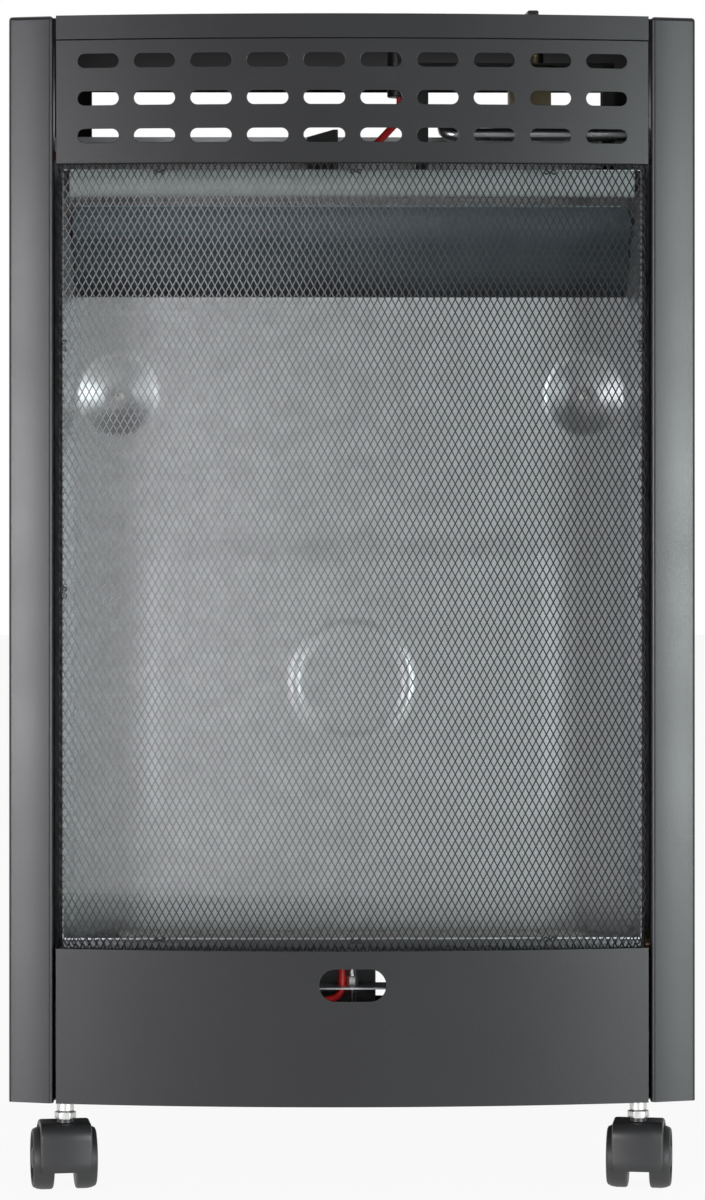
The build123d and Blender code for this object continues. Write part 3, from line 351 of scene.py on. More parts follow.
@dataclass(frozen=True)
class Plastic(Look):
    """Moulded plastic with a spark-eroded grain."""

    roughness: float = 0.45
    grain: float = 0.5 * MM
    depth: float = 0.02 * MM

    def paint(self, shader: Shader) -> None:
        """Even colour, fine grain, faint scuffs."""
        grain = shader.noise(self.grain, 2.0)
        scuff = shader.noise(14 * MM, 5.0, roughness=0.7).over(0.62, 0.2)
        shader.set(Base_Color=shader.mix(scuff * 0.35, self.colour, scaled(self.colour, 1.7)),
                   Roughness=self.roughness + scuff * 0.1 + (grain - 0.5) * 0.1,
                   Normal=shader.bump(grain, self.depth))


class Finish(Enum):
    """Every finish on the heater."""

    CABINET = PowderCoat("cabinet_paint", (0.011, 0.011, 0.0125))
    GUARD = Glaze("guard_enamel", (0.004, 0.004, 0.0045), 3 * MM, 2.0, 1.0, 1.6, 0.36, 0.15, 0.02 * MM,
                  1.2 * MM)
    REFLECTOR = Galvanised("galvanised", (0.52, 0.54, 0.55))
    # painted shade: a darker copy of the galvanised sheet for the shelf and its lip, which lie in shade
    SHADED_SHELF = Galvanised("galvanised", (0.30, 0.335, 0.335))
    # painted shade: a dark copy of the galvanised sheet for the pan and the lip below its upper edge
    SHADED_PAN = Galvanised("galvanised", (0.10, 0.105, 0.11), roughness=0.5)
    # painted light: a lighter, less metallic copy of the galvanised sheet for the bay wall, for the light
    # through the window
    WALL = Galvanised("galvanised", (0.74, 0.75, 0.76), metal=0.35)
    # painted shade: the hood's colour darkens towards its foot
    HOOD = TintedSheet("heat_darkened", (0.25, 0.33, 0.36), foot=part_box("deflector_hood")[0].z + 4 * MM,
                      head=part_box("deflector_hood")[1].z)
    BURNER = Galvanised("burner_steel", (0.46, 0.46, 0.45), roughness=0.5)
    BRASS = Metal("brass", (0.42, 0.29, 0.13), roughness=0.34)
    # painted shade: a dark copy of the brass for the valve body, which lies in shade under the lid
    SHADED_BRASS = Metal("brass", (0.12, 0.095, 0.06), roughness=0.45, tarnish=0.6)
    STEEL = Metal("steel", (0.50, 0.50, 0.51))
    TUBE = Metal("aluminium_pipe", (0.72, 0.73, 0.75), roughness=0.3, tarnish=0.15)
    COPPER = Metal("copper", (0.72, 0.34, 0.20))
    ZINC = Metal("zinc", (0.72, 0.73, 0.72), roughness=0.24, tarnish=0.15)
    LEAD = Glaze("silicone", (0.62, 0.016, 0.016), 5 * MM, 3.0, 0.4, 1.5, 0.38, 0.1, 0.02 * MM)
    PORCELAIN = Glaze("ceramic", (0.78, 0.77, 0.74), 3 * MM, 2.0, 1.0, 0.93, 0.22, 0.08, 0.01 * MM)
    KNOB = Plastic("black_plastic", (0.018, 0.018, 0.019), roughness=0.36)
    BUTTON = Plastic("button_plastic", (0.30, 0.012, 0.010), roughness=0.25)
    FORK = Plastic("caster_plastic", (0.022, 0.022, 0.023), roughness=0.42)
    WHEEL = Plastic("wheel_plastic", (0.026, 0.026, 0.026), roughness=0.5, grain=0.9 * MM)
    MARK = Plastic("black_plastic", (0.75, 0.75, 0.74), roughness=0.4)

    def material(self) -> bpy.types.Material:
        """Material of the finish, made when it is first asked for."""
        made = bpy.data.materials.get(self.name.lower())
        if made is None:
            shader = Shader(self.name.lower())
            self.value.paint(shader)
            made = shader.material
        return made


# ---- mesh making
def rounded(points: Outline, radii: float | Sequence[float], steps: int = 5) -> Line:
    """Closed outline with rounded corners.

    Args:
        points: corners in order.
        radii: one radius, or one for each corner.
        steps: flats in each corner.

    Returns:
        Points of the rounded outline.
    """
    count = len(points)
    sizes = [radii] * count if isinstance(radii, (int, float)) else list(radii)
    out = []
    for index, (corner, size) in enumerate(zip(points, sizes)):
        here = Vector(corner)
        to_last = (Vector(points[index - 1]) - here).normalized()
        to_next = (Vector(points[(index + 1) % count]) - here).normalized()
        if size <= 0:
            out.append(tuple(here))
            continue
        half = to_last.angle(to_next) / 2
        middle = here + (to_last + to_next).normalized() * (size / sin(half))
        first = here + to_last * (size / tan(half)) - middle
        turn = first.angle_signed(here + to_next * (size / tan(half)) - middle)
        for step in range(steps + 1):
            out.append(tuple(middle + Matrix.Rotation(-turn * step / steps, 2) @ first))
    return out


def rectangle(low: Point, high: Point) -> Line:
    """Corners of a rectangle, anticlockwise."""
    return [(low[0], low[1]), (high[0], low[1]), (high[0], high[1]), (low[0], high[1])]


def eased(reach: float, width: float) -> float:
    """Share from 0 to 1 that starts and ends softly, over a width."""
    share = min(max(reach / width, 0), 1)
    return share * share * (3 - 2 * share)


def ring(radius: float, sides: int) -> Line:
    """Points of a circle."""
    return [(radius * cos(2 * pi * k / sides), radius * sin(2 * pi * k / sides)) for k in range(sides)]


def moved_in(line: Outline, distance: float) -> Line:
    """Line moved to its left by a distance, with its corners kept.

    Args:
        line: corners of an open line.
        distance: how far each run moves.

    Returns:
        Corners of the moved line.
    """
    corners = [Vector(point) for point in line]
    sides = []
    for here, there in zip(corners, corners[1:]):
        along = (there - here).normalized()
        sides.append(Vector((-along.y, along.x)))
    moved = [corners[0] + sides[0] * distance]
    for corner, before, after in zip(corners[1:-1], sides, sides[1:]):
        moved.append(corner + (before + after) * (distance / (1 + before.dot(after))))
    moved.append(corners[-1] + sides[-1] * distance)
    return [tuple(point) for point in moved]


def in_mm(*points: tuple[float, float], base: float = 0.0) -> Line:
    """Points given in millimetres, their second values over a base in metres."""
    return [(x * MM, base + y * MM) for x, y in points]


def over_underside(point: Point) -> Vector:
    """Point given in millimetres, its height over the cabinet's underside."""
    return Vector(point) * MM + Vector((0, 0, UNDERSIDE))


def eased_route(points: Sequence[Point], radii: Sequence[float]) -> list[Vector]:
    """Route of straight runs joined by arcs.

    Args:
        points: corners of the route.
        radii: radius of the arc at each inner corner.

    Returns:
        Points along the route.
    """
    corners = [Vector(point) for point in points]
    route = [corners[0]]
    for before, corner, after, radius in zip(corners, corners[1:], corners[2:], radii):
        arrive = (corner - before).normalized()
        leave = (after - corner).normalized()
        turn = arrive.angle(leave)
        tangent = radius * tan(turn / 2)
        start = corner - arrive * tangent
        middle = start + (leave - arrive * arrive.dot(leave)).normalized() * radius
        axis = arrive.cross(leave).normalized()
        count = max(2, ceil(turn / ROUTE_STEP))
        for index in range(count + 1):
            route.append(middle + Matrix.Rotation(turn * index / count, 3, axis) @ (start - middle))
    return route + [corners[-1]]


class Form:
    """Mesh of one piece in the making, in metres."""

    def __init__(self) -> None:
        """Start with an empty mesh."""
        self.mesh = bmesh.new()

    def skin(self, rings: Sequence[Sequence[Point]], closed: bool = False, caps: bool = True,
             place: Matrix = Matrix()) -> list[bmesh.types.BMFace]:
        """Join rings of points that have as many points each.

        Args:
            rings: rings in order.
            closed: whether the last ring joins the first.
            caps: whether the two end rings are filled.
            place: where the whole goes.

        Returns:
            The faces that were made.
        """
        rows = [[self.mesh.verts.new(place @ Vector(point)) for point in loop] for loop in rings]
        pairs = list(zip(rows, rows[1:] + ([rows[0]] if closed else [])))
        faces = []
        for low, high in pairs:
            for index in range(len(low)):
                after = (index + 1) % len(low)
                faces.append(self.mesh.faces.new((low[index], low[after], high[after], high[index])))
        if caps and not closed:
            faces.append(self.mesh.faces.new(list(reversed(rows[0]))))
            faces.append(self.mesh.faces.new(rows[-1]))
        return faces

    def turned(self, profile: Outline, sides: int = 48, place: Matrix = Matrix(),
               closed: bool = False) -> None:
        """Turn a profile about the place's Z axis.

        Args:
            profile: radius and height of each point, from the foot to the head.
            sides: flats round the axis.
            place: where the whole goes.
            closed: whether the profile is a closed loop, as a ring's is.
        """
        rings = [[(x, y, height) for x, y in ring(max(radius, 1e-6), sides)] for radius, height in profile]
        self.skin(rings, closed=closed, caps=not closed, place=place)

    def tube(self, route: Sequence[Vector], radius: float, sides: int = 16) -> None:
        """Round bar along a route.

        Args:
            route: points along the middle.
            radius: the bar's radius.
            sides: flats round it.
        """
        side = (route[1] - route[0]).orthogonal().normalized()
        rings = []
        for index, point in enumerate(route):
            before = route[max(index - 1, 0)]
            after = route[min(index + 1, len(route) - 1)]
            along = (after - before).normalized()
            side = (side - along * side.dot(along)).normalized()
            up = along.cross(side)
            rings.append([point + side * x + up * y for x, y in ring(radius, sides)])
        self.skin(rings)

    def slab(self, outline: Outline, low: float, high: float, place: Matrix = Matrix(), edge: float = 0.0,
             steps: int = 2) -> None:
        """Straight piece over an outline, with its long edges eased.

        Args:
            outline: points of the outline, anticlockwise.
            low: where it starts along the place's Z axis.
            high: where it ends.
            place: where the whole goes.
            edge: radius of the edges at both ends.
            steps: flats in an eased edge.
        """
        faces = self.skin([[(x, y, level) for x, y in outline] for level in (low, high)], place=place)
        if edge:
            rims = [line for cap in faces[-2:] for line in cap.edges]
            bmesh.ops.bevel(self.mesh, geom=rims, offset=edge, segments=steps, affect="EDGES", profile=0.5)

    def block(self, low: Point, high: Point, edge: float = 0.3 * MM,
              place: Matrix = Matrix()) -> None:
        """Box between two corners with eased edges."""
        self.slab(rounded(rectangle(low, high), edge, 2), low[2], high[2], place, edge)

    def piece(self, name: str, finish: Finish, replaces: Sequence[str] = (), body: str = CABINET,
              angle: float = SMOOTH_ANGLE) -> None:
        """Finish the mesh and hand it to its body.

        Args:
            name: the piece's name.
            finish: its finish.
            replaces: nodes of the frame that it stands for.
            body: the body it moves with.
            angle: edges sharper than this stay sharp.
        """
        bmesh.ops.recalc_face_normals(self.mesh, faces=self.mesh.faces)
        data = bpy.data.meshes.new(name)
        self.mesh.to_mesh(data)
        self.mesh.free()
        settle(name, data, finish, replaces, body, angle)


def placed(name: str, data: bpy.types.ID) -> bpy.types.Object:
    """New object of the scene."""
    made = bpy.data.objects.new(name, data)
    bpy.context.scene.collection.objects.link(made)
    return made


def settle(name: str, data: bpy.types.Mesh, finish: Finish, replaces: Sequence[str] = (),
           body: str = CABINET, angle: float = SMOOTH_ANGLE) -> None:
    """Make an object of a mesh, finish it and hand it to its body.

    Args:
        name: the piece's name.
        data: its mesh.
        finish: its finish.
        replaces: nodes of the frame that it stands for.
        body: the body it moves with.
        angle: edges sharper than this stay sharp.
    """
    data.shade_smooth()
    data.set_sharp_from_angle(angle=angle)
    data.materials.append(finish.material())
    made = placed(name, data)
    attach(made, body)
    if replaces:
        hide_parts(*replaces)
    LOG.info("%s: %d faces on %s", name, len(data.polygons), body)


def dress(finish: Finish, *nodes: str, edge: float = 0.0) -> None:
    """Give nodes of the frame a finish.

    Args:
        finish: the finish.
        nodes: names of the nodes.
        edge: width of the bevel that their sharp edges get, or 0 for none.
    """
    for node in nodes:
        shown = frame["nodes"][node]
        shown.data.materials.clear()
        shown.data.materials.append(finish.material())
        if edge:
            bevel = shown.modifiers.new("eased_edges", "BEVEL")
            bevel.width = edge
            bevel.segments = 2
            bevel.limit_method = "ANGLE"
            bevel.angle_limit = radians(50)
            bevel.harden_normals = True
        LOG.info("%s: %s", node, finish.name.lower())


def frame_axis(joint_name: str) -> tuple[float, float]:
    """X and Y of an upright joint."""
    joint = next(j for j in frame["joints"] if j["name"] == joint_name)
    return joint["pos_m"][0], joint["pos_m"][1]


def turned_to(origin: Point, axis: Point) -> Matrix:
    """Place whose Z axis points along a direction."""
    return Matrix.Translation(origin) @ Vector(axis).to_track_quat("Z", "Y").to_matrix().to_4x4()


# ---- the bowed front
@dataclass(frozen=True)
class Bow:
    """Arc that the front follows in plan."""

    half: float
    front: float
    rise: float

    @property
    def radius(self) -> float:
        """Radius of the arc."""
        return (self.half ** 2 + self.rise ** 2) / (2 * self.rise)

    def y(self, x: float) -> float:
        """Y of the front at x."""
        return self.front + self.radius - sqrt(self.radius ** 2 - x ** 2)

    def lean(self, x: float) -> float:
        """Angle by which the front has turned away at x."""
        return asin(x / self.radius)


def front_bow() -> Bow:
    """Arc of the front, read from the lower panel."""
    low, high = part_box("lower_front_panel")
    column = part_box("right_side_panel")[0]
    return Bow(half=high.x, front=low.y, rise=column.y - low.y)


# ---- pierced panels
def slot_hole(x: float, z: float, length: float, height: float) -> Line:
    """Slot with round ends.

    Args:
        x: its middle.
        z: its middle.
        length: end to end.
        height: width of the slot.

    Returns:
        Points of the slot.
    """
    steps = 16
    reach = (length - height) / 2
    points = []
    for side in (1, -1):
        for step in range(steps + 1):
            turn = side * (pi * step / steps - pi / 2)
            points.append((x + side * (reach + height / 2 * cos(turn)), z + height / 2 * sin(turn)))
    return points


def slot_rows(columns: int, rows: int, pitch: tuple[float, float], top: float,
              size: tuple[float, float]) -> list[Line]:
    """Rows of slots about the middle.

    Args:
        columns: slots in a row.
        rows: how many rows.
        pitch: distance of two columns and of two rows.
        top: height of the uppermost row.
        size: a slot's length and height.

    Returns:
        Points of each slot.
    """
    return [slot_hole((column - (columns - 1) / 2) * pitch[0], top - row * pitch[1], *size)
            for row in range(rows) for column in range(columns)]


def cut(sheet: bmesh.types.BMesh, place: Point, normal: Point) -> None:
    """Divide a sheet's faces along a plane, so that they can bend there."""
    everything = [*sheet.verts, *sheet.edges, *sheet.faces]
    bmesh.ops.bisect_plane(sheet, geom=everything, plane_co=place, plane_no=normal, dist=1e-7)


def pierced_sheet(outline: Outline, holes: Iterable[Outline], thick: float,
                  edge: float) -> bmesh.types.BMesh:
    """Flat sheet in X and Z with holes, its front face at y 0 and its back behind it.

    Args:
        outline: points round the sheet.
        holes: points round each hole.
        thick: sheet thickness.
        edge: radius of the eased edges.

    Returns:
        The sheet's mesh.
    """
    curve = bpy.data.curves.new("sheet", "CURVE")
    curve.dimensions = "2D"
    curve.fill_mode = "BOTH"
    curve.extrude = thick / 2 - edge
    curve.bevel_depth = edge
    curve.bevel_resolution = 1
    curve.offset = -edge
    for points in (outline, *holes):
        spline = curve.splines.new("POLY")
        spline.points.add(len(points) - 1)
        for knot, (x, z) in zip(spline.points, points):
            knot.co = (x, z, 0, 1)
        spline.use_cyclic_u = True
    holder = placed("sheet", curve)
    flat = bpy.data.meshes.new_from_object(holder.evaluated_get(bpy.context.evaluated_depsgraph_get()))
    bpy.data.objects.remove(holder)
    sheet = bmesh.new()
    sheet.from_mesh(flat)
    bpy.data.meshes.remove(flat)
    bmesh.ops.remove_doubles(sheet, verts=sheet.verts, dist=1e-6)
    upright = Matrix.Translation((0, thick / 2, 0)) @ Matrix.Rotation(pi / 2, 4, "X")
    bmesh.ops.transform(sheet, matrix=upright, verts=sheet.verts)
    return sheet


def bend_to(sheet: bmesh.types.BMesh, bow: Bow, stations: int) -> None:
    """Bend a flat sheet to the bow.

    Args:
        sheet: the sheet, whose front face lies at y 0.
        bow: the arc.
        stations: flats that the arc is made of.
    """
    for index in range(1, stations):
        cut(sheet, ((2 * index / stations - 1) * bow.half, 0, 0), (1, 0, 0))
    for vert in sheet.verts:
        lean = bow.lean(vert.co.x)
        depth = vert.co.y
        vert.co.y = bow.y(vert.co.x) + depth * cos(lean)
        vert.co.x -= depth * sin(lean)


@dataclass
class UpperPanel:
    """Bowed panel with three rows of warm-air slots, and its two folded flanges."""

    bow: Bow
    sheet: float = 0.8 * MM
    edge: float = 0.3 * MM
    flange: float = 13 * MM
    slot: tuple[float, float] = (26 * MM, 8.8 * MM)
    pitch: tuple[float, float] = (35.65 * MM, 23.7 * MM)
    columns: int = 10
    rows: int = 3
    top_drop: float = 13.2 * MM
    stations: int = 48

    def build(self) -> None:
        """Make the panel in place of the plain one."""
        low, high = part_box("upper_front_panel")
        holes = slot_rows(self.columns, self.rows, self.pitch, high.z - self.top_drop, self.slot)
        form = Form()
        form.mesh = pierced_sheet(rectangle(low.xz, high.xz), holes, self.sheet, self.edge)
        bend_to(form.mesh, self.bow, self.stations)
        for level in (low.z, high.z - self.sheet):
            self.fold(form, level)
        form.piece("upper_front", Finish.CABINET, ["upper_front_panel"], angle=radians(12))

    def fold(self, form: Form, level: float) -> None:
        """Flange that runs back from the panel at one height."""
        stations = [self.bow.half * (2 * k / self.stations - 1) for k in range(self.stations + 1)]
        gap = 0.02 * MM
        front = [(x, self.bow.y(x) + self.sheet + gap) for x in stations]
        back = [(x, self.bow.y(x) + self.flange) for x in reversed(stations)]
        form.slab(front + back, level, level + self.sheet)


@dataclass
class SidePanel:
    """Side of the cabinet: column face with a pressed cap, side wall and rear flange."""

    bow: Bow
    hand: str
    gap: float = 1.7 * MM
    sheet: float = 0.8 * MM
    lean: float = radians(14)
    depth: float = 14 * MM
    flange: float = 30 * MM
    fold: float = 2.4 * MM
    cap: float = 2.6 * MM

    def build(self) -> None:
        """Make the side in place of the plain one."""
        low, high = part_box("right_side_panel")
        front, outer = low.y, high.x
        inner = self.bow.half + self.gap
        corner = front + (outer - inner) * tan(self.lean)
        column = [(inner, front + self.depth), (inner, front), (outer, corner), (outer, front + self.depth)]
        wall = [(outer, front + self.depth), (outer, high.y), (outer - self.flange, high.y)]
        place = Matrix.Scale(-1, 4, (1, 0, 0)) if self.hand == "left" else Matrix()
        form = Form()
        self.folded(form, column, low.z, high.z - self.cap, place)
        self.folded(form, wall, low.z, high.z - self.sheet, place)
        levels = [(0.0, high.z - self.cap)]
        for step in range(7):
            turn = pi / 2 * step / 6
            radius = self.cap - 0.2 * MM
            levels.append((radius * (1 - cos(turn)), high.z - radius * (1 - sin(turn))))
        rings = []
        for inset, level in levels:
            fold = max(self.fold - inset, 0.2 * MM)
            radii = [0.05 * MM, fold, fold, 0.05 * MM]
            rings.append([(x, y, level) for x, y in rounded(moved_in(column, inset), radii)])
        form.skin(rings, place=place)
        form.piece(f"{self.hand}_side", Finish.CABINET, [f"{self.hand}_side_panel"])

    def folded(self, form: Form, line: Outline, low: float, high: float, place: Matrix) -> None:
        """Sheet folded along a line in plan.

        Args:
            form: mesh that it is added to.
            line: corners of the sheet's outer face.
            low: its foot.
            high: its head.
            place: where the whole goes.
        """
        inside = moved_in(line, self.sheet)
        turns = len(line) - 2
        radii = [0.0] + [self.fold] * turns + [0.0, 0.0] + [self.fold - self.sheet] * turns + [0.0]
        form.slab(rounded([*line, *reversed(inside)], radii), low, high, place)


@dataclass
class RearCover:
    """Lift-off cover: raised field, rows of air slots and a hand hole."""

    sheet: float = 0.8 * MM
    inset: float = 18 * MM
    bevel: float = 4 * MM
    rise: float = 1.3 * MM
    slot: tuple[float, float] = (64 * MM, 6 * MM)
    pitch: tuple[float, float] = (90 * MM, 18 * MM)
    columns: int = 3
    rows: int = 4
    top_row: float = 184 * MM
    hand_hole: tuple[float, float] = (90 * MM, 24 * MM)
    hand_drop: float = 40 * MM

    def build(self) -> None:
        """Make the cover in place of the plain one."""
        low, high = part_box("rear_cover")
        holes = slot_rows(self.columns, self.rows, self.pitch, low.z + self.top_row, self.slot)
        holes.insert(0, slot_hole(0, high.z - self.hand_drop, *self.hand_hole))
        outline = rounded(rectangle(low.xz, high.xz), 3 * MM)
        form = Form()
        form.mesh = pierced_sheet(outline, holes, self.sheet, 0.15 * MM)
        self.press(form.mesh, low, high)
        form.piece("cover", Finish.CABINET, ["rear_cover"], "rear_cover", radians(10))

    def press(self, sheet: bmesh.types.BMesh, low: Vector, high: Vector) -> None:
        """Raise the field inside the rim.

        Args:
            sheet: the flat sheet.
            low: the cover's lowest corner.
            high: its highest corner.
        """
        steps = [self.inset + self.bevel * share for share in (0, 0.25, 0.5, 0.75, 1)]
        for step in steps:
            for place, normal in (((low.x + step, 0, 0), (1, 0, 0)), ((high.x - step, 0, 0), (1, 0, 0)),
                                  ((0, 0, low.z + step), (0, 0, 1)), ((0, 0, high.z - step), (0, 0, 1))):
                cut(sheet, place, normal)
        outer = high.y - self.rise
        for vert in sheet.verts:
            reach = min(vert.co.x - low.x, high.x - vert.co.x, vert.co.z - low.z, high.z - vert.co.z)
            vert.co.y = outer - vert.co.y + self.rise * eased(reach - self.inset, self.bevel)


# ---- guard
@dataclass
class Guard:
    """Expanded metal bent to the bow, with its edges folded back and wire clips."""

    bow: Bow
    across: float = 4.45 * MM
    tall: float = 8.3 * MM
    strand: float = 0.72 * MM
    sheet: float = 0.6 * MM
    tilt: float = 0.32 * MM
    fold: float = 2.6 * MM
    fold_turn: float = radians(78)
    tail: float = 7.0 * MM
    foot_creases: Sequence[tuple[float, float]] = ((32 * MM, 0.0), (18 * MM, 2.2 * MM), (0.0, 7.0 * MM))
    head_crease: float = 8.5 * MM
    head_inset: float = 1.6 * MM
    clip_wire: float = 0.55 * MM
    clip_loop: float = 1.15 * MM
    clip_reach: float = 2.3 * MM
    head_clips: Sequence[float] = (-122 * MM, 2 * MM, 125 * MM)
    side_clips: Sequence[float] = (224 * MM, 380 * MM)

    def build(self) -> None:
        """Make the lattice and its clips in place of the plain ones."""
        low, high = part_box("guard_mesh")
        self.low, self.high = low, high
        self.half = high.x - self.sheet / 2 - 0.05 * MM
        arc_half = self.half - self.fold
        self.sweep = self.bow.lean(arc_half) * self.bow.radius
        self.lattice()
        self.clips()

    def plan(self, s: float) -> tuple[Vector, Vector]:
        """Place and outward direction in plan at a distance along the sheet.

        Args:
            s: distance from the middle, along the sheet.

        Returns:
            Point and outward normal, both in X and Y.
        """
        side = 1 if s >= 0 else -1
        reach = min(abs(s), self.sweep)
        lean = reach / self.bow.radius
        middle = Vector((0, self.bow.front + self.bow.radius))
        point = middle + Vector((sin(lean), -cos(lean))) * (self.bow.radius - self.sheet)
        turn_length = self.fold * self.fold_turn
        over = abs(s) - reach
        if over > 0:
            turn = lean + min(over, turn_length) / self.fold
            centre = point - Vector((sin(lean), -cos(lean))) * self.fold
            point = centre + Vector((sin(turn), -cos(turn))) * self.fold
            point += Vector((cos(turn), sin(turn))) * max(over - turn_length, 0)
            lean = turn
        return Vector((side * point.x, point.y)), Vector((side * sin(lean), -cos(lean)))

    def drawn_in(self, z: float) -> float:
        """How far the sheet is set back at a height, at its head and its foot."""
        from_head = self.high.z - z
        if from_head < self.head_crease:
            return self.head_inset * (1 - from_head / self.head_crease)
        above = z - self.low.z
        for (upper, less), (lower, more) in zip(self.foot_creases, self.foot_creases[1:]):
            if lower <= above < upper:
                return less + (more - less) * (upper - above) / (upper - lower)
        return 0.0

    def at(self, s: float, z: float, depth: float) -> Vector:
        """Point of the bent sheet.

        Args:
            s: distance from the middle, along the sheet.
            z: height.
            depth: distance out of the sheet's middle.

        Returns:
            The point.
        """
        point, out = self.plan(s)
        y = point.y + self.drawn_in(z) + out.y * depth
        return Vector((point.x + out.x * depth, y, z))

    def lattice(self) -> None:
        """Diamonds and strands of the whole sheet."""
        half_across, half_tall = self.across / 2, self.tall / 2
        slant = hypot(half_across, half_tall)
        shrink = 1 - self.strand * slant / (2 * half_across * half_tall)
        reach = self.sweep + self.fold * self.fold_turn + self.tail
        columns = int(reach / half_across)
        rows = int((self.high.z - self.low.z) / half_tall) - 1
        base = (self.high.z + self.low.z) / 2 - rows * half_tall / 2
        data = LatticeBuilder(half_across, half_tall, shrink, self.tilt, self.sheet)
        for row in range(rows + 1):
            for column in range(-columns, columns + 1):
                if (row + column) % 2 == 0:
                    data.holes.add((column, row))
        verts, faces = data.mesh(lambda s, z, depth: self.at(s, base + z, depth))
        mesh = bpy.data.meshes.new("guard")
        mesh.from_pydata(verts, [], faces)
        settle("guard", mesh, Finish.GUARD, ["guard_mesh"], angle=radians(20))

    def clips(self) -> None:
        """Wire clips twisted round the strands."""
        form = Form()
        inset = 5 * MM
        for z in (self.high.z - inset, self.low.z + inset):
            for x in self.head_clips:
                self.clip(form, self.at(x, z, 0), self.bow.lean(x), 0.0)
        edge = self.sweep - 1.5 * MM
        for z in self.side_clips:
            for side in (-1, 1):
                self.clip(form, self.at(side * edge, self.low.z + z, 0), self.bow.lean(side * edge), pi / 2)
        form.piece("clips", Finish.GUARD, ["guard_clips"])

    def clip(self, form: Form, middle: Vector, lean: float, turn: float) -> None:
        """One clip: two curls joined by a short bar.

        Args:
            form: mesh that it is added to.
            middle: its middle, on the sheet.
            lean: how far the sheet has turned away there.
            turn: angle of the bar in the sheet's plane, 0 where it lies level.
        """
        place = Matrix.Translation(middle) @ Matrix.Rotation(lean, 4, "Z") @ Matrix.Rotation(turn, 4, "Y")
        loop, back = self.clip_loop, self.clip_wire * 1.4
        for side in (-1, 1):
            hoop = [place @ Vector((side * self.clip_reach + loop * cos(t), back, loop * sin(t)))
                    for t in [2 * pi * k / 18 for k in range(17)]]
            form.tube(hoop, self.clip_wire, 8)
        bar = [place @ Vector((side * self.clip_reach * 0.6, back, 0)) for side in (-1, 1)]
        form.tube(bar, self.clip_wire, 8)


@dataclass
class LatticeBuilder:
    """Closed mesh of expanded metal, made from the set of its holes.

    A hole stands at column + row even. Each has four corners on both faces of the sheet. shrink is a hole's
    size as a share of its cell, tilt how far a strand's two edges stand apart in depth.
    """

    half_across: float
    half_tall: float
    shrink: float
    tilt: float
    sheet: float
    holes: set[tuple[int, int]] = field(default_factory=set)
    index: dict[tuple[int, int, str, int], int] = field(default_factory=dict)
    points: list[tuple[float, float, float]] = field(default_factory=list)
    faces: list[tuple[int, ...]] = field(default_factory=list)

    def corner(self, hole: tuple[int, int], name: str, face: int) -> int:
        """Number of a hole's corner.

        Args:
            hole: the hole's column and row.
            name: which corner.
            face: 1 on the front of the sheet, -1 on its back.

        Returns:
            The corner's place in the list of points.
        """
        key = (*hole, name, face)
        if key not in self.index:
            right, up = HOLE_CORNERS[name]
            s = (hole[0] + right * self.shrink) * self.half_across
            z = (hole[1] + up * self.shrink) * self.half_tall
            self.index[key] = len(self.points)
            self.points.append((s, z, face * self.sheet / 2 - right * self.tilt / 2))
        return self.index[key]

    def quad(self, corners: Sequence[tuple[tuple[int, int], str]]) -> None:
        """Put a four-sided face on the front and its mirror on the back."""
        self.faces.append(tuple(self.corner(hole, name, 1) for hole, name in corners))
        self.faces.append(tuple(self.corner(hole, name, -1) for hole, name in reversed(corners)))

    def wall(self, first: tuple[tuple[int, int], str], second: tuple[tuple[int, int], str]) -> None:
        """Close one side of a strand from front to back."""
        self.faces.append((self.corner(*second, 1), self.corner(*first, 1), self.corner(*first, -1),
                           self.corner(*second, -1)))

    def mesh(self, bend: Callable[[float, float, float], Vector]) -> tuple[list[Vector],
                                                                           list[tuple[int, ...]]]:
        """Make strands and knuckles round all the holes.

        Args:
            bend: gives the point for a distance along the sheet, a height and a depth.

        Returns:
            Points and faces.
        """
        strands: set[tuple[int, int, int]] = set()
        for column, row in self.holes:
            strands |= {(column, row, 1), (column, row, -1), (column + 1, row - 1, -1),
                        (column - 1, row - 1, 1)}
        knuckles: dict[tuple[int, int], set[str]] = {}
        for column, row, lean in strands:
            here, there = (column, row), (column + lean, row + 1)
            near, far = ("right", "left") if lean > 0 else ("left", "right")
            loop = [(here, near), (there, "bottom"), (there, far), (here, "top")]
            if lean < 0:
                loop.reverse()
            self.quad(loop)
            self.wall(loop[3], loop[0])
            self.wall(loop[1], loop[2])
            below, above = ("upper_left", "lower_right") if lean > 0 else ("upper_right", "lower_left")
            knuckles.setdefault((column + lean, row), set()).add(below)
            knuckles.setdefault((column, row + 1), set()).add(above)
        for (column, row), joined in knuckles.items():
            right, top = ((column + 1, row), "left"), ((column, row + 1), "bottom")
            left, bottom = ((column - 1, row), "right"), ((column, row - 1), "top")
            self.quad([right, top, left, bottom])
            sides = {"upper_right": (right, top), "upper_left": (top, left), "lower_left": (left, bottom),
                     "lower_right": (bottom, right)}
            for name, (first, second) in sides.items():
                if name not in joined:
                    self.wall(first, second)
        return [bend(*point) for point in self.points], self.faces


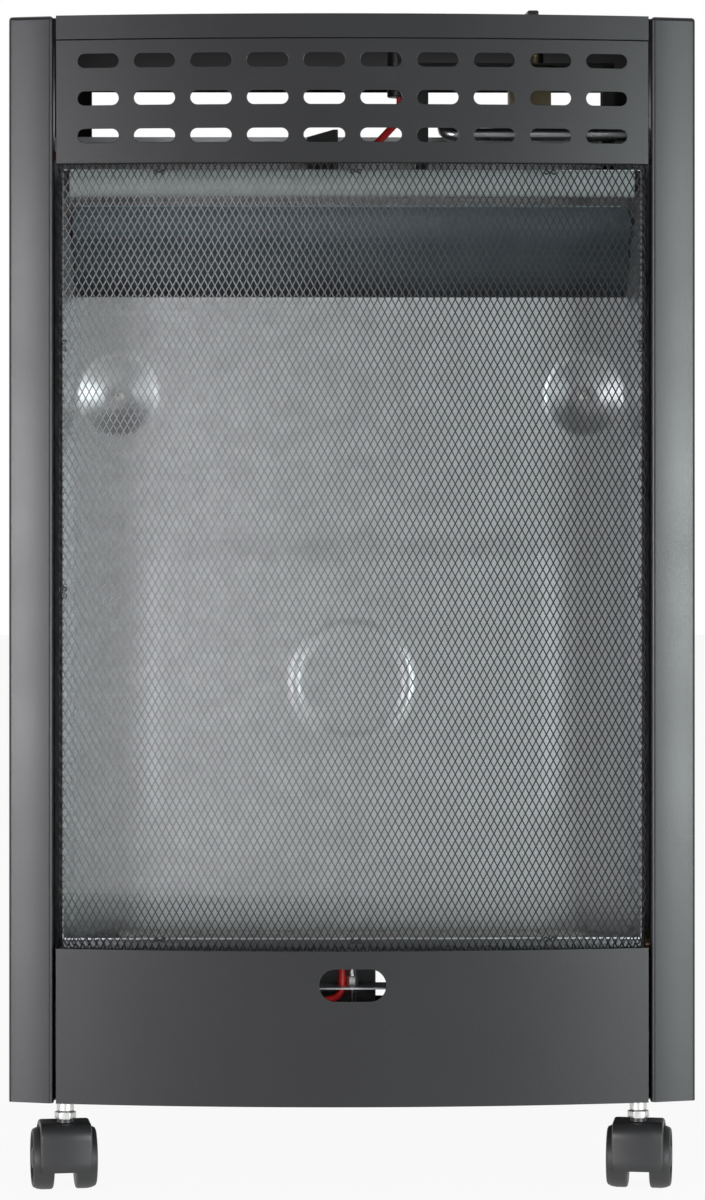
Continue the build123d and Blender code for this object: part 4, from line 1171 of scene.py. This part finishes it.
# ---- fire box
@dataclass
class FireBox:
    """Pressed reflector with its dished screw seats, bead and raised field, and its screws."""

    tin: float = 0.6 * MM
    pitch: float = 2.0 * MM
    field_rise: float = 177 * MM
    field_size: tuple[float, float] = (281 * MM, 197 * MM)
    field_corner: float = 12 * MM
    field_bevel: float = 20 * MM
    field_height: float = 1.2 * MM
    bead_radius: float = 37 * MM
    bead_width: float = 9 * MM
    bead_height: float = 1.2 * MM
    dish_x: float = 152 * MM
    dish_rise: float = 363 * MM
    dish_radius: float = 26 * MM
    dish_floor: float = 8 * MM
    dish_depth: float = 6.8 * MM
    depth: float = 65 * MM
    half: float = 180 * MM
    top_rise: float = 427 * MM
    lip_height: float = 18.5 * MM

    def relief(self, x: float, z: float) -> float:
        """How far the pressed sheet stands forward at a point.

        Args:
            x: across.
            z: up.

        Returns:
            Height of the relief, towards the viewer.
        """
        reach_x = self.field_size[0] / 2 - abs(x)
        reach_z = self.field_size[1] / 2 - abs(z - self.field_centre)
        corner = self.field_corner + self.field_bevel
        if reach_x < corner and reach_z < corner:
            reach = corner - hypot(corner - reach_x, corner - reach_z)
        else:
            reach = min(reach_x, reach_z)
        height = self.field_height * eased(reach, self.field_bevel)
        from_bead = abs(hypot(x, z - self.field_centre) - self.bead_radius) / (self.bead_width / 2)
        if from_bead < 1:
            height += self.bead_height * (0.5 + 0.5 * cos(pi * from_bead))
        from_dish = hypot(abs(x) - self.dish_x, z - self.dish_z)
        if from_dish < self.dish_radius:
            share = min((self.dish_radius - from_dish) / (self.dish_radius - self.dish_floor), 1)
            height -= self.dish_depth * (1 - (1 - share) ** 1.25)
        return height

    def build(self) -> None:
        """Make the pressed back, the walls, the pan and the lip in place of the plain tray."""
        self.low, self.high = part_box("reflector_tray")
        self.back = self.low.y + self.depth
        self.field_centre = self.low.z + self.field_rise
        self.dish_z = self.low.z + self.dish_rise
        self.top = self.low.z + self.top_rise
        self.pressed_back()
        self.shell()
        self.screws()

    def pressed_back(self) -> None:
        """Back sheet of the fire box, pressed with dies."""
        columns = round(2 * self.half / self.pitch)
        rows = round((self.top - self.low.z) / self.pitch)
        stations = [self.half * (2 * column / columns - 1) for column in range(columns + 1)]
        levels = [self.low.z + (self.top - self.low.z) * row / rows for row in range(rows + 1)]
        verts = [(x, self.back - self.relief(x, z) + layer, z)
                 for layer in (0, self.tin) for z in levels for x in stations]
        wide = columns + 1
        rear = wide * (rows + 1)
        faces = []
        for a in [row * wide + column for row in range(rows) for column in range(columns)]:
            faces.append((a, a + 1, a + 1 + wide, a + wide))
            faces.append((a + rear, a + wide + rear, a + 1 + wide + rear, a + 1 + rear))
        rim = [*range(columns), *range(columns, rows * wide, wide)]
        rim += [*range(rear - 1, rows * wide, -1), *range(rows * wide, 0, -wide)]
        for first, second in zip(rim, rim[1:] + rim[:1]):
            faces.append((second, first, first + rear, second + rear))
        mesh = bpy.data.meshes.new("reflector_back")
        mesh.from_pydata(verts, [], faces)
        settle("reflector_back", mesh, Finish.REFLECTOR, ["reflector_tray"], angle=radians(50))

    def shell(self) -> None:
        """Side walls, pan and front lip; the pan and the lip below its upper edge take a dark copy of the
        galvanised finish, painted shade, while the upper edge keeps the bright finish.
        """
        # painted shade: the second mesh holds the pan and the lower lip in the dark copy of the galvanised
        # finish
        form, shaded_sheet = Form(), Form()
        mouth = self.high.x - self.tin
        front = self.low.y
        hem = 1.3 * MM
        for side in (-1, 1):
            rear = self.back + self.tin
            wall = [(side * self.half, rear), (side * (self.half + self.tin), rear),
                    (side * (mouth + self.tin), front), (side * mouth, front)]
            form.slab(wall, self.low.z + self.tin, self.high.z, edge=0.1 * MM)
        gap = 0.03 * MM
        pan_front = front + self.tin + gap
        pan = [(-self.half, self.back - gap), (-mouth, pan_front), (mouth, pan_front),
               (self.half, self.back - gap)]
        shaded_sheet.slab(pan, self.low.z, self.low.z + self.tin)
        lip = self.low.z + self.lip_height
        shaded_sheet.block((-mouth, front, self.low.z), (mouth, front + self.tin, lip - hem - gap), edge=0.15 * MM)
        form.block((-mouth, front, lip - hem), (mouth, front + self.tin, lip), edge=0.25 * MM)
        form.piece("reflector_walls", Finish.REFLECTOR)
        # painted shade: pan and lower lip in the dark copy
        shaded_sheet.piece("reflector_pan", Finish.SHADED_PAN)

    def screws(self) -> None:
        """Pan-head screw and washer in each dish."""
        form = Form()
        seat = self.back + self.dish_depth
        for x in (-self.dish_x, self.dish_x):
            cross_head(form, turned_to((x, seat, self.dish_z), (0, -1, 0)))
        form.piece("dish_screws", Finish.ZINC, ["reflector_screws"])


@dataclass
class Baffle:
    """Shelf over the fire box, whose front lip curls back to its foot.

    The lip's outer line is a list of set-backs and drops from the shelf's upper front edge.
    """

    tin: float = 0.6 * MM
    outer: Outline = ((0.1, 0.62), (0.15, 7.0), (0.7, 11.0), (1.7, 14.6), (2.7, 17.0), (3.3, 17.6))
    inner: Outline = ((3.9, 17.4), (4.1, 16.8), (3.3, 16.2), (2.3, 14.3), (1.3, 10.8), (0.75, 7.0),
                      (0.7, 0.62))

    def build(self) -> None:
        """Make the shelf and its lip in place of the plain ones."""
        low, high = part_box("upper_baffle")
        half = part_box("deflector_hood")[1].x
        shelf = Form()
        shelf.block((low.x, low.y, high.z - self.tin), (high.x, high.y, high.z), edge=0.1 * MM)
        outline = [(low.y + back * MM, high.z - drop * MM) for back, drop in (*self.outer, *self.inner)]
        across = Matrix(((0, 0, 1, 0), (1, 0, 0, 0), (0, 1, 0, 0), (0, 0, 0, 1)))
        shelf.slab(outline, -half, half, across)
        # painted shade: the shelf and its lip take the darker copy of the galvanised finish
        shelf.piece("baffle", Finish.SHADED_SHELF, ["upper_baffle"], angle=radians(40))


def cross_head(form: Form, place: Matrix, radius: float = 3.4 * MM, height: float = 1.9 * MM) -> None:
    """Pan-head screw with a cross recess and a washer under it.

    Args:
        form: mesh that it is added to.
        place: foot of the head, with Z out of the seat.
        radius: the head's radius.
        height: the head's height.
    """
    washer = radius * 1.15
    form.turned([(0, 0), (washer, 0), (washer, 0.35 * MM), (0, 0.35 * MM)], 28, place)
    dome = [(0, 0.36 * MM), (radius, 0.36 * MM), (radius, height * 0.5), (radius * 0.86, height * 0.85),
            (radius * 0.5, height), (0, height)]
    form.turned(dome, 28, place)
    slot = radius * 0.16
    for turn in (0, pi / 2):
        bar = place @ Matrix.Rotation(turn, 4, "Z")
        form.block((-radius * 0.5, -slot, height - 0.1 * MM), (radius * 0.5, slot, height + 0.05 * MM),
                   edge=0.05 * MM, place=bar)


# ---- casters
@dataclass
class Caster:
    """Twin-wheel hooded caster that stands turned by its toe."""

    place: str
    toe: float = radians(8)
    trail: float = 13 * MM
    axle_height: float = 20 * MM
    wheel_inner: float = 7 * MM
    hood_half: float = 16.3 * MM
    hood_inner: float = 21.6 * MM
    hood_outer: float = 24.5 * MM
    hood_shoulder: float = 9 * MM
    end_taper: float = 1.2 * MM
    web_half: float = 5.2 * MM
    hood_from: float = radians(-14)
    hood_to: float = radians(165)

    def build(self) -> None:
        """Make the fork and the wheels in place of the plain ones."""
        x, y = frame_axis(f"swivel_{self.place}")
        side = -1 if x < 0 else 1
        self.frame = Matrix.Translation((x, y, 0)) @ Matrix.Rotation(-side * self.toe, 4, "Z")
        self.fork()
        for half, direction in (("a", -1), ("b", 1)):
            self.wheel(half, direction)

    def seen_from_side(self) -> Matrix:
        """Place on the axle line whose X is forwards, Y is up and Z is across."""
        turned = Matrix(((0, 0, -1, 0), (-1, 0, 0, 0), (0, 1, 0, 0), (0, 0, 0, 1)))
        return self.frame @ Matrix.Translation((0, self.trail, self.axle_height)) @ turned

    def squared(self, turn: float) -> float:
        """How much further out the hood stands where it runs level over the stem's seat.

        Args:
            turn: angle about the axle, from straight ahead.

        Returns:
            Extra distance from the axle.
        """
        if not 0 < turn < pi / 2:
            return 0.0
        reach = self.hood_outer - self.hood_shoulder
        side, up = cos(turn), sin(turn)
        flat = self.hood_outer / max(side, up)
        if flat * min(side, up) <= reach:
            return flat - self.hood_outer
        along = reach * (side + up)
        return along + sqrt(along ** 2 - 2 * reach ** 2 + self.hood_shoulder ** 2) - self.hood_outer

    def fork(self) -> None:
        """Hood, web and socket."""
        form = Form()
        steps = 48
        rings = []
        for step in range(steps + 1):
            turn = self.hood_from + (self.hood_to - self.hood_from) * step / steps
            ends = min(step, steps - step)
            half = self.hood_half - self.end_taper * max(0, 1 - ends / 3)
            outer = self.hood_outer + self.squared(turn)
            inner = self.hood_inner + self.squared(turn) * 0.9
            section = [(inner, -half), (outer - 1.6 * MM, -half), (outer - 0.5 * MM, -half + 0.5 * MM),
                       (outer, -half + 1.7 * MM), (outer, half - 1.7 * MM),
                       (outer - 0.5 * MM, half - 0.5 * MM), (outer - 1.6 * MM, half), (inner, half)]
            rings.append([(r * cos(turn), r * sin(turn), across) for r, across in section])
        form.skin(rings, place=self.seen_from_side())
        reach = self.hood_inner * 1.01
        web = [(cos(self.hood_from * 0.2) * reach, 0)]
        web += [(reach * cos(t), reach * sin(t)) for t in [radians(a) for a in range(12, 133, 8)]]
        web += [(-8 * MM, 0), (-4 * MM, -8 * MM), (12 * MM, -8 * MM)]
        form.slab(web, -self.web_half, self.web_half, self.seen_from_side(), edge=0.6 * MM)
        form.turned(in_mm((0, 18.2), (6.4, 18.2), (6.4, 43.8), (6.0, 44.4), (0, 44.4)), 32, self.frame)
        form.piece(f"caster_hood_{self.place}", Finish.FORK, [f"caster_fork_{self.place}"],
                   f"caster_{self.place}")
        dress(Finish.ZINC, f"caster_axle_{self.place}")

    def wheel(self, half: str, direction: int) -> None:
        """Wheel with a crowned rim, a dished face and a hub.

        Args:
            half: letter of the wheel.
            direction: which way its outer face looks along the axle.
        """
        profile = in_mm((0, 0.4), (5, 0.4), (5.4, 0), (17.8, 0), (19.3, 0.4), (20, 1.5), (20, 7.425),
                        (19.5, 10.53), (18.4, 12.9), (17.2, 13.5), (16.2, 13.3), (15.8, 11.9), (7.0, 11.3),
                        (6.4, 12.9), (5.6, 13.4), (0, 13.5))
        axis = self.frame.to_3x3() @ Vector((direction, 0, 0))
        start = self.frame @ Vector((direction * self.wheel_inner, self.trail, self.axle_height))
        form = Form()
        form.turned(profile, 64, turned_to(start, axis))
        node = f"wheel_{self.place}_{half}"
        form.piece(f"caster_{node}", Finish.WHEEL, [node], node)


@dataclass
class Stems:
    """Plated stems of the four casters, each with a black neck, nuts and a thread."""

    neck: float = 5.3 * MM
    neck_height: float = 2.5 * MM
    nut: float = 12.0 * MM
    nut_height: float = 4.2 * MM
    collar: float = 5.5 * MM
    thread: float = 3.9 * MM
    root: float = 3.4 * MM
    floor: float = 1.2 * MM

    def build(self) -> None:
        """Make all four stems in place of the plain ones."""
        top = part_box("caster_stems")[1].z
        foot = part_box("caster_fork_front_left")[1].z + 0.45 * MM
        nut_foot = foot + self.neck_height
        plated, necks = Form(), Form()
        neck = [(0, foot), (self.neck, foot), (self.neck * 0.92, nut_foot), (0, nut_foot)]
        for corner in CORNERS:
            place = Matrix.Translation((*frame_axis(f"swivel_{corner}"), 0))
            self.stem(plated, place, nut_foot, top)
            necks.turned(neck, 32, place)
        plated.piece("stems", Finish.ZINC, ["caster_stems"])
        necks.piece("stem_necks", Finish.FORK)

    def stem(self, form: Form, place: Matrix, foot: float, top: float) -> None:
        """Stem from its neck to above the floor.

        Args:
            form: mesh that it is added to.
            place: its axis.
            foot: top of the neck.
            top: end of the thread.
        """
        gap = 0.05 * MM
        upper = UNDERSIDE + self.floor
        for low in (foot, upper):
            hexagon(form, place, self.nut / 2, low + gap, low + self.nut_height)
        collar, low, high = self.collar, foot + self.nut_height + 0.6 * MM, UNDERSIDE - gap
        form.turned([(self.thread, low), (collar - 0.5 * MM, low), (collar, low + 0.5 * MM), (collar, high),
                     (self.thread, high)], 32, place, closed=True)
        threads = []
        level, step = foot + gap, 0.5 * MM
        while level < top - step:
            threads += [(self.thread, level), (self.root, level + step)]
            level += 2 * step
        form.turned([(0, foot + gap), *threads, (0, top)], 24, place)


def hexagon(form: Form, place: Matrix, inner: float, low: float, high: float) -> None:
    """Nut with chamfered corners.

    Args:
        form: mesh that it is added to.
        place: its axis.
        inner: half its width across flats.
        low: where it starts along the axis.
        high: where it ends.
    """
    corners = ring(inner / cos(pi / 6), 6)
    form.slab(rounded(corners, 0.5 * MM, 3), low, high, place, edge=min(0.45 * MM, (high - low) / 4))


# ---- controls on the lid
@dataclass
class Controls:
    """Gas knob and piezo igniter on the lid, with the bracket and the valve under it."""

    knob_radius: float = 21 * MM
    skirt: float = 4 * MM
    block_height: float = 38 * MM
    screw_inset: float = 5 * MM

    def build(self) -> None:
        """Make knob, bezel, button, nut and valve."""
        self.knob()
        self.igniter()
        self.valve()

    def knob(self) -> None:
        """Fluted skirt with a raised grip bar and a pointer line."""
        low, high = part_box("control_knob")
        middle = (low + high) / 2
        place = Matrix.Translation((middle.x, middle.y, low.z))
        height = high.z - low.z
        form, skirt, sides = Form(), self.skirt, 72
        rings = []
        for radius, level in ((0.93, 0.0), (1.0, 0.4 * MM), (0.985, skirt - 0.8 * MM),
                              (0.94, skirt - 0.2 * MM), (0.86, skirt), (0.30, skirt)):
            loop = []
            for k, (x, y) in enumerate(ring(self.knob_radius * radius, sides)):
                notch = 1 - 0.02 * (k % 2) if radius > 0.9 else 1
                loop.append((x * notch, y * notch, level))
            rings.append(loop)
        form.skin(rings, place=place)
        length = self.knob_radius - 2.5 * MM
        grip = [(-length, -3.6 * MM), (length * 0.72, -5 * MM), (length, -2.4 * MM), (length, 2.4 * MM),
                (length * 0.72, 5 * MM), (-length, 3.6 * MM)]
        turned = place @ Matrix.Rotation(pi / 2, 4, "Z")
        form.slab(rounded(grip, 1.6 * MM, 4), skirt - 0.2 * MM, height, turned, edge=1.2 * MM, steps=3)
        form.piece("knob_cap", Finish.KNOB, ["control_knob"], "knob")
        mark = Form()
        mark.block((length * 0.35, -0.6 * MM, height - 0.02 * MM),
                   (length - 1.6 * MM, 0.6 * MM, height + 0.05 * MM), edge=0.02 * MM, place=turned)
        mark.piece("knob_mark", Finish.MARK, body="knob")
        dress(Finish.STEEL, "valve_spindle", "valve_plunger")

    def igniter(self) -> None:
        """Bezel, barrel, push button and clamping nut of the igniter."""
        low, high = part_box("igniter_body")
        place = Matrix.Translation(((low.x + high.x) / 2, (low.y + high.y) / 2, 0))
        form = Form()
        form.turned(in_mm((0, 0), (7.8, 0), (8.4, 0.6), base=low.z)
                    + in_mm((8.4, -1.95), (11, -1.95), (11, -0.9), (10.2, 0), (7.5, 0), (7.1, -0.4),
                            (7.1, -12), (0, -12), base=high.z), 56, place)
        form.piece("igniter_bezel", Finish.KNOB, ["igniter_body"])
        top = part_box("igniter_button")[1].z
        button = Form()
        button.turned(in_mm((0, -7), (6.9, -7), (6.9, -0.9), (6.65, -0.35), (6, 0), (5.3, -0.1), (0, -0.7),
                            base=top), 48, place)
        button.piece("button_cap", Finish.BUTTON, ["igniter_button"], "igniter_button")
        low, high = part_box("igniter_nut")
        nut = Form()
        nut.turned(in_mm((8.6, 0), (11.9, 0), (12.3, 0.5), base=low.z)
                   + in_mm((12.3, -0.3), (8.6, -0.3), base=high.z), 24, place, closed=True)
        nut.piece("igniter_ring", Finish.ZINC, ["igniter_nut"])

    def valve(self) -> None:
        """Die-cast valve body with its neck and screws."""
        low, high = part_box("gas_valve")
        x, y = frame_axis("knob_turn")
        form = Form()
        block_top = low.z + self.block_height
        form.block((low.x, low.y, low.z), (high.x, high.y, block_top), edge=1.4 * MM)
        neck = Matrix.Translation((x, y, 0))
        form.turned(in_mm((4.3, -0.2), (7.8, -0.2), base=block_top)
                    + in_mm((7.8, -0.6), (7.2, 0), (4.3, 0), base=high.z), 36, neck, closed=True)
        # painted shade: the valve body takes the dark copy of the brass
        form.piece("valve_body", Finish.SHADED_BRASS, ["gas_valve"])
        screws = Form()
        inset = self.screw_inset
        for spot_x, spot_z in ((low.x + inset, block_top - inset), (high.x - inset, low.z + inset)):
            cross_head(screws, turned_to((spot_x, low.y, spot_z), (0, -1, 0)), 2.4 * MM, 1.4 * MM)
        screws.piece("valve_screws", Finish.ZINC)
        dress(Finish.CABINET, "valve_bracket", edge=0.25 * MM)


# ---- pipes, leads and burner
@dataclass(frozen=True)
class Pipe:
    """Pipe or lead along its real route, in millimetres over the cabinet's underside."""

    name: str
    node: str
    finish: Finish
    radius: float
    sides: int
    points: Sequence[Point]
    bends: Sequence[float]

    def build(self) -> None:
        """Make it in place of the plain one."""
        form = Form()
        corners = [over_underside(point) for point in self.points]
        form.tube(eased_route(corners, [bend * MM for bend in self.bends]), self.radius, self.sides)
        form.piece(self.name, self.finish, [self.node])


PIPES = (
    Pipe("main_pipe", "main_gas_pipe", Finish.TUBE, 4.2 * MM, 20,
         [(94, -112, 631), (60, -112, 631), (60, -140, 616.5), (205, -140, 616.5), (205, -140, 94.5),
          (193, -140, 94.5)], [9, 9, 14, 9]),
    Pipe("pilot_pipe", "pilot_tube", Finish.TUBE, 2.4 * MM, 18,
         [(108, -120, 616), (108, -120, 601), (196, -166, 601), (196, -166, 37.2), (0, -176, 37.2),
          (0, -176, 88)], [10, 10, 14, 12]),
    Pipe("sensor_lead", "thermocouple_lead", Finish.COPPER, 0.9 * MM, 10,
         [(34.7, -176, 98), (208, -176, 98), (208, -176, 621), (184, -112, 631), (138, -112, 631)],
         [12, 12, 12]),
    Pipe("spark_lead", "ignition_lead", Finish.LEAD, 2.4 * MM, 18,
         [(32, -112, 643), (32, -112, 629), (12, -125, 607), (-60, -125, 607), (-200, -155, 605),
          (-200, -155, 57), (-50, -176, 57), (-6.7, -176, 64), (-6.7, -176, 86.4)],
         [12, 12, 60, 22, 22, 40, 9]),
)


class Plumbing:
    """Pipes, leads, unions, nozzle and the pilot group."""

    def build(self) -> None:
        """Make every piece of it."""
        for pipe in PIPES:
            pipe.build()
        self.unions()
        self.nozzle()
        self.pilot_group()
        dress(Finish.BURNER, "burner_tube")
        dress(Finish.REFLECTOR, "burner_saddles", "pilot_bracket")
        dress(Finish.KNOB, "lead_clip")

    def unions(self) -> None:
        """Brass union nuts on the valve."""
        form = Form()
        for origin, axis, inner, length in (((94, -112, 631), (1, 0, 0), 6, 9),
                                            ((108, -120, 616), (0, 0, 1), 4.5, 9),
                                            ((130, -112, 631), (1, 0, 0), 3.5, 8)):
            place = turned_to(over_underside(origin), axis)
            hexagon(form, place, inner * MM, 0, length * 0.6 * MM)
            collar, foot = inner * 0.8, length * 0.55
            form.turned(in_mm((0, foot), (collar, foot), (collar, length), (0, length)), 28, place)
        form.piece("union_nuts", Finish.BRASS, ["pipe_unions"])

    def nozzle(self) -> None:
        """Ribbed hose tail behind the valve and its hexagon."""
        low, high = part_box("hose_nozzle")
        x, z = (low.x + high.x) / 2, (low.z + high.z) / 2
        place = turned_to((x, low.y, z), (0, 1, 0))
        form = Form()
        hexagon(form, place, 7 * MM, 0, 10 * MM)
        tail = [(2.5, 10.5), (2.5, 36), (3.5, 36)]
        for crest in (33, 27.5, 22, 16.5):
            tail += [(4.0, crest), (4.0, crest - 1.0), (3.5, crest - 1.6)]
        form.turned(in_mm(*tail, (3.5, 10.5)), 32, place, closed=True)
        form.piece("hose_tail", Finish.BRASS, ["hose_nozzle"])

    def pilot_group(self) -> None:
        """Pilot head, electrode, flame sensor, injector and mixing tube."""
        form = Form()
        low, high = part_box("pilot_nut")
        hexagon(form, Matrix.Translation((0, -176 * MM, 0)), 3.5 * MM, low.z, high.z)
        form.piece("pilot_clamp", Finish.ZINC, ["pilot_nut"])
        spark = Form()
        rod = Matrix.Translation(over_underside((-6.7, -176, 86.4)))
        spark.turned(in_mm((0, 0), (2.4, 0), (2.85, 0.6), (2.85, 8.1), (2.2, 10.6), (0, 10.6)), 28, rod)
        spark.piece("spark_rod", Finish.PORCELAIN, ["spark_electrode"])
        tip = Form()
        bend = ((-6.7, -176, 96), (-6.7, -176, 100), (-6.7, -173.5, 104.3))
        tip.tube([over_underside(point) for point in bend], 0.75 * MM, 10)
        tip.piece("spark_tip", Finish.STEEL)
        dress(Finish.BURNER, "pilot_burner", "venturi")
        dress(Finish.BRASS, "injector")
        dress(Finish.COPPER, "thermocouple")


@dataclass
class ShellScrews:
    """Screws on the rear flanges, under the floor and on the bracket's feet."""

    rear: Sequence[Point] = ((-203, 207.6, 5.8), (203, 207.6, 5.8))
    under: Sequence[Point] = ((-140, -120, 0), (140, -120, 0))
    bracket: Sequence[Point] = ((46, -120, 591.8), (167, -120, 591.8))

    def build(self) -> None:
        """Make all six in place of the plain heads."""
        form = Form()
        for places, axis in ((self.rear, (0, 1, 0)), (self.under, (0, 0, -1)), (self.bracket, (0, 0, 1))):
            for place in places:
                cross_head(form, turned_to(over_underside(place), axis))
        form.piece("shell_screws", Finish.ZINC, ["cabinet_screws"])


# ---- studio
@dataclass
class Lamp:
    """Softbox that looks at a point."""

    name: str
    place: Point
    target: Point
    size: tuple[float, float]
    power: float
    colour: Colour = (1.0, 1.0, 1.0)

    def build(self) -> None:
        """Make the lamp."""
        light = bpy.data.lights.new(self.name, "AREA")
        light.shape = "RECTANGLE"
        light.size, light.size_y = self.size
        light.energy = self.power
        light.color = self.colour
        lamp = placed(self.name, light)
        lamp.location = self.place
        lamp.rotation_euler = (Vector(self.target) - Vector(self.place)).to_track_quat("-Z", "Y").to_euler()


@dataclass
class Studio:
    """Camera, lamps, world and floor."""

    distance: float = 2.400
    eye: tuple[float, float] = (-27 * MM, 476 * MM)
    column_front: float = -194.5 * MM
    lens: float = 113.95
    drop: float = -0.128
    world: float = 0.2
    lamps: list[Lamp] = field(default_factory=lambda: [
        Lamp("left_box", (-1.93, -2.5, 0.34), (0, -0.15, 0.34), (0.9, 0.66), 58, (1.0, 0.985, 1.02)),
        Lamp("right_box", (1.93, -2.5, 0.34), (0, -0.15, 0.34), (0.9, 0.66), 62, (0.93, 1.0, 0.995)),
        Lamp("front_box", (0, -3.6, 1.7), (0, -0.1, 0.4), (1.8, 0.8), 4),
        Lamp("top_box", (0, 0.2, 2.3), (0, 0.1, 0.5), (1.4, 1.0), 8),
    ])

    def build(self) -> None:
        """Set the whole studio up."""
        self.camera()
        for lamp in self.lamps:
            lamp.build()
        self.surroundings()
        self.ground()
        bpy.context.scene.view_settings.view_transform = "Standard"

    def camera(self) -> None:
        """Camera at the photograph's place, a little left of the middle."""
        data = bpy.data.cameras.new("camera")
        data.lens = self.lens
        data.shift_y = self.drop
        data.clip_end = 60
        camera = placed("camera", data)
        x, z = self.eye
        camera.location = (x, self.column_front - self.distance, z)
        camera.rotation_euler = (pi / 2, 0, -atan2(-x, self.distance))
        bpy.context.scene.camera = camera

    def surroundings(self) -> None:
        """Grey world that the camera sees as white, and gloss too where it lies behind the heater."""
        world = bpy.data.worlds.new("studio")
        world.use_nodes = True
        tree = world.node_tree
        camera, glossy, through = light_path(tree)
        apart = tree.nodes.new("ShaderNodeSeparateXYZ")
        tree.links.new(tree.nodes.new("ShaderNodeTexCoord").outputs["Generated"], apart.inputs[0])
        behind = Signal(tree, apart.outputs["Y"]).over(0.1, 0.2)
        seen = (camera + (glossy + through) * behind).clamped()
        background = tree.nodes["Background"]
        background.inputs["Color"].default_value = (1, 1, 1, 1)
        tree.links.new((seen * (1 - self.world) + self.world).socket, background.inputs["Strength"])
        bpy.context.scene.world = world

    def ground(self) -> None:
        """Pale floor all round."""
        half = 7.0
        data = bpy.data.meshes.new("floor")
        corners = [(-half, -half, 0), (half, -half, 0), (half, half, 0), (-half, half, 0)]
        data.from_pydata(corners, [], [(0, 1, 2, 3)])
        data.materials.append(self.white("studio_floor", 0.82, 0.93))
        made = placed("floor", data)

    def white(self, name: str, tone: float, share: float) -> bpy.types.Material:
        """White to the camera and in gloss, over a paint that lamps light and shade.

        Args:
            name: the material's name.
            tone: lightness of the paint.
            share: how much of what is seen is plain white.

        Returns:
            The material.
        """
        shader = Shader(name)
        shader.set(Base_Color=(tone, tone, tone), Roughness=0.9, Specular_IOR_Level=0.0)
        camera, glossy, through = light_path(shader.tree)
        glow = shader.node("ShaderNodeEmission", inputs={"Color": (1, 1, 1, 1), "Strength": 1.0})
        paint = Signal(shader.tree, shader.principled.outputs[0])
        seen = (camera + glossy + through).clamped() * share
        mixed = shader.node("ShaderNodeMixShader", inputs={0: seen, 1: paint, 2: glow})
        shader.feed(shader.tree.nodes["Material Output"].inputs["Surface"], mixed)
        return shader.material


def light_path(tree: bpy.types.NodeTree) -> list[Signal]:
    """Whether a ray comes from the camera, from gloss or through glass."""
    path = tree.nodes.new("ShaderNodeLightPath")
    kinds = ("Is Camera Ray", "Is Glossy Ray", "Is Transmission Ray")
    return [Signal(tree, path.outputs[kind]) for kind in kinds]


def main() -> None:
    """Dress the heater from its panels inwards, then light it."""
    logging.basicConfig(level=logging.INFO, format="%(name)s: %(message)s")
    bow = front_bow()
    dress(Finish.CABINET, "top_panel", "lower_front_panel", "base_plate", edge=0.3 * MM)
    # painted light: the bay wall takes the lighter copy of the galvanised finish
    dress(Finish.WALL, "bay_wall")
    dress(Finish.HOOD, "deflector_hood", edge=0.2 * MM)
    parts = [SidePanel(bow, "left"), SidePanel(bow, "right"), UpperPanel(bow), RearCover(), Guard(bow),
             FireBox(), Baffle(), Controls(), Plumbing(), ShellScrews(), Stems()]
    parts += [Caster(corner) for corner in CORNERS]
    for part in parts:
        part.build()
    Studio().build()


if __name__ == "__main__":
    main()
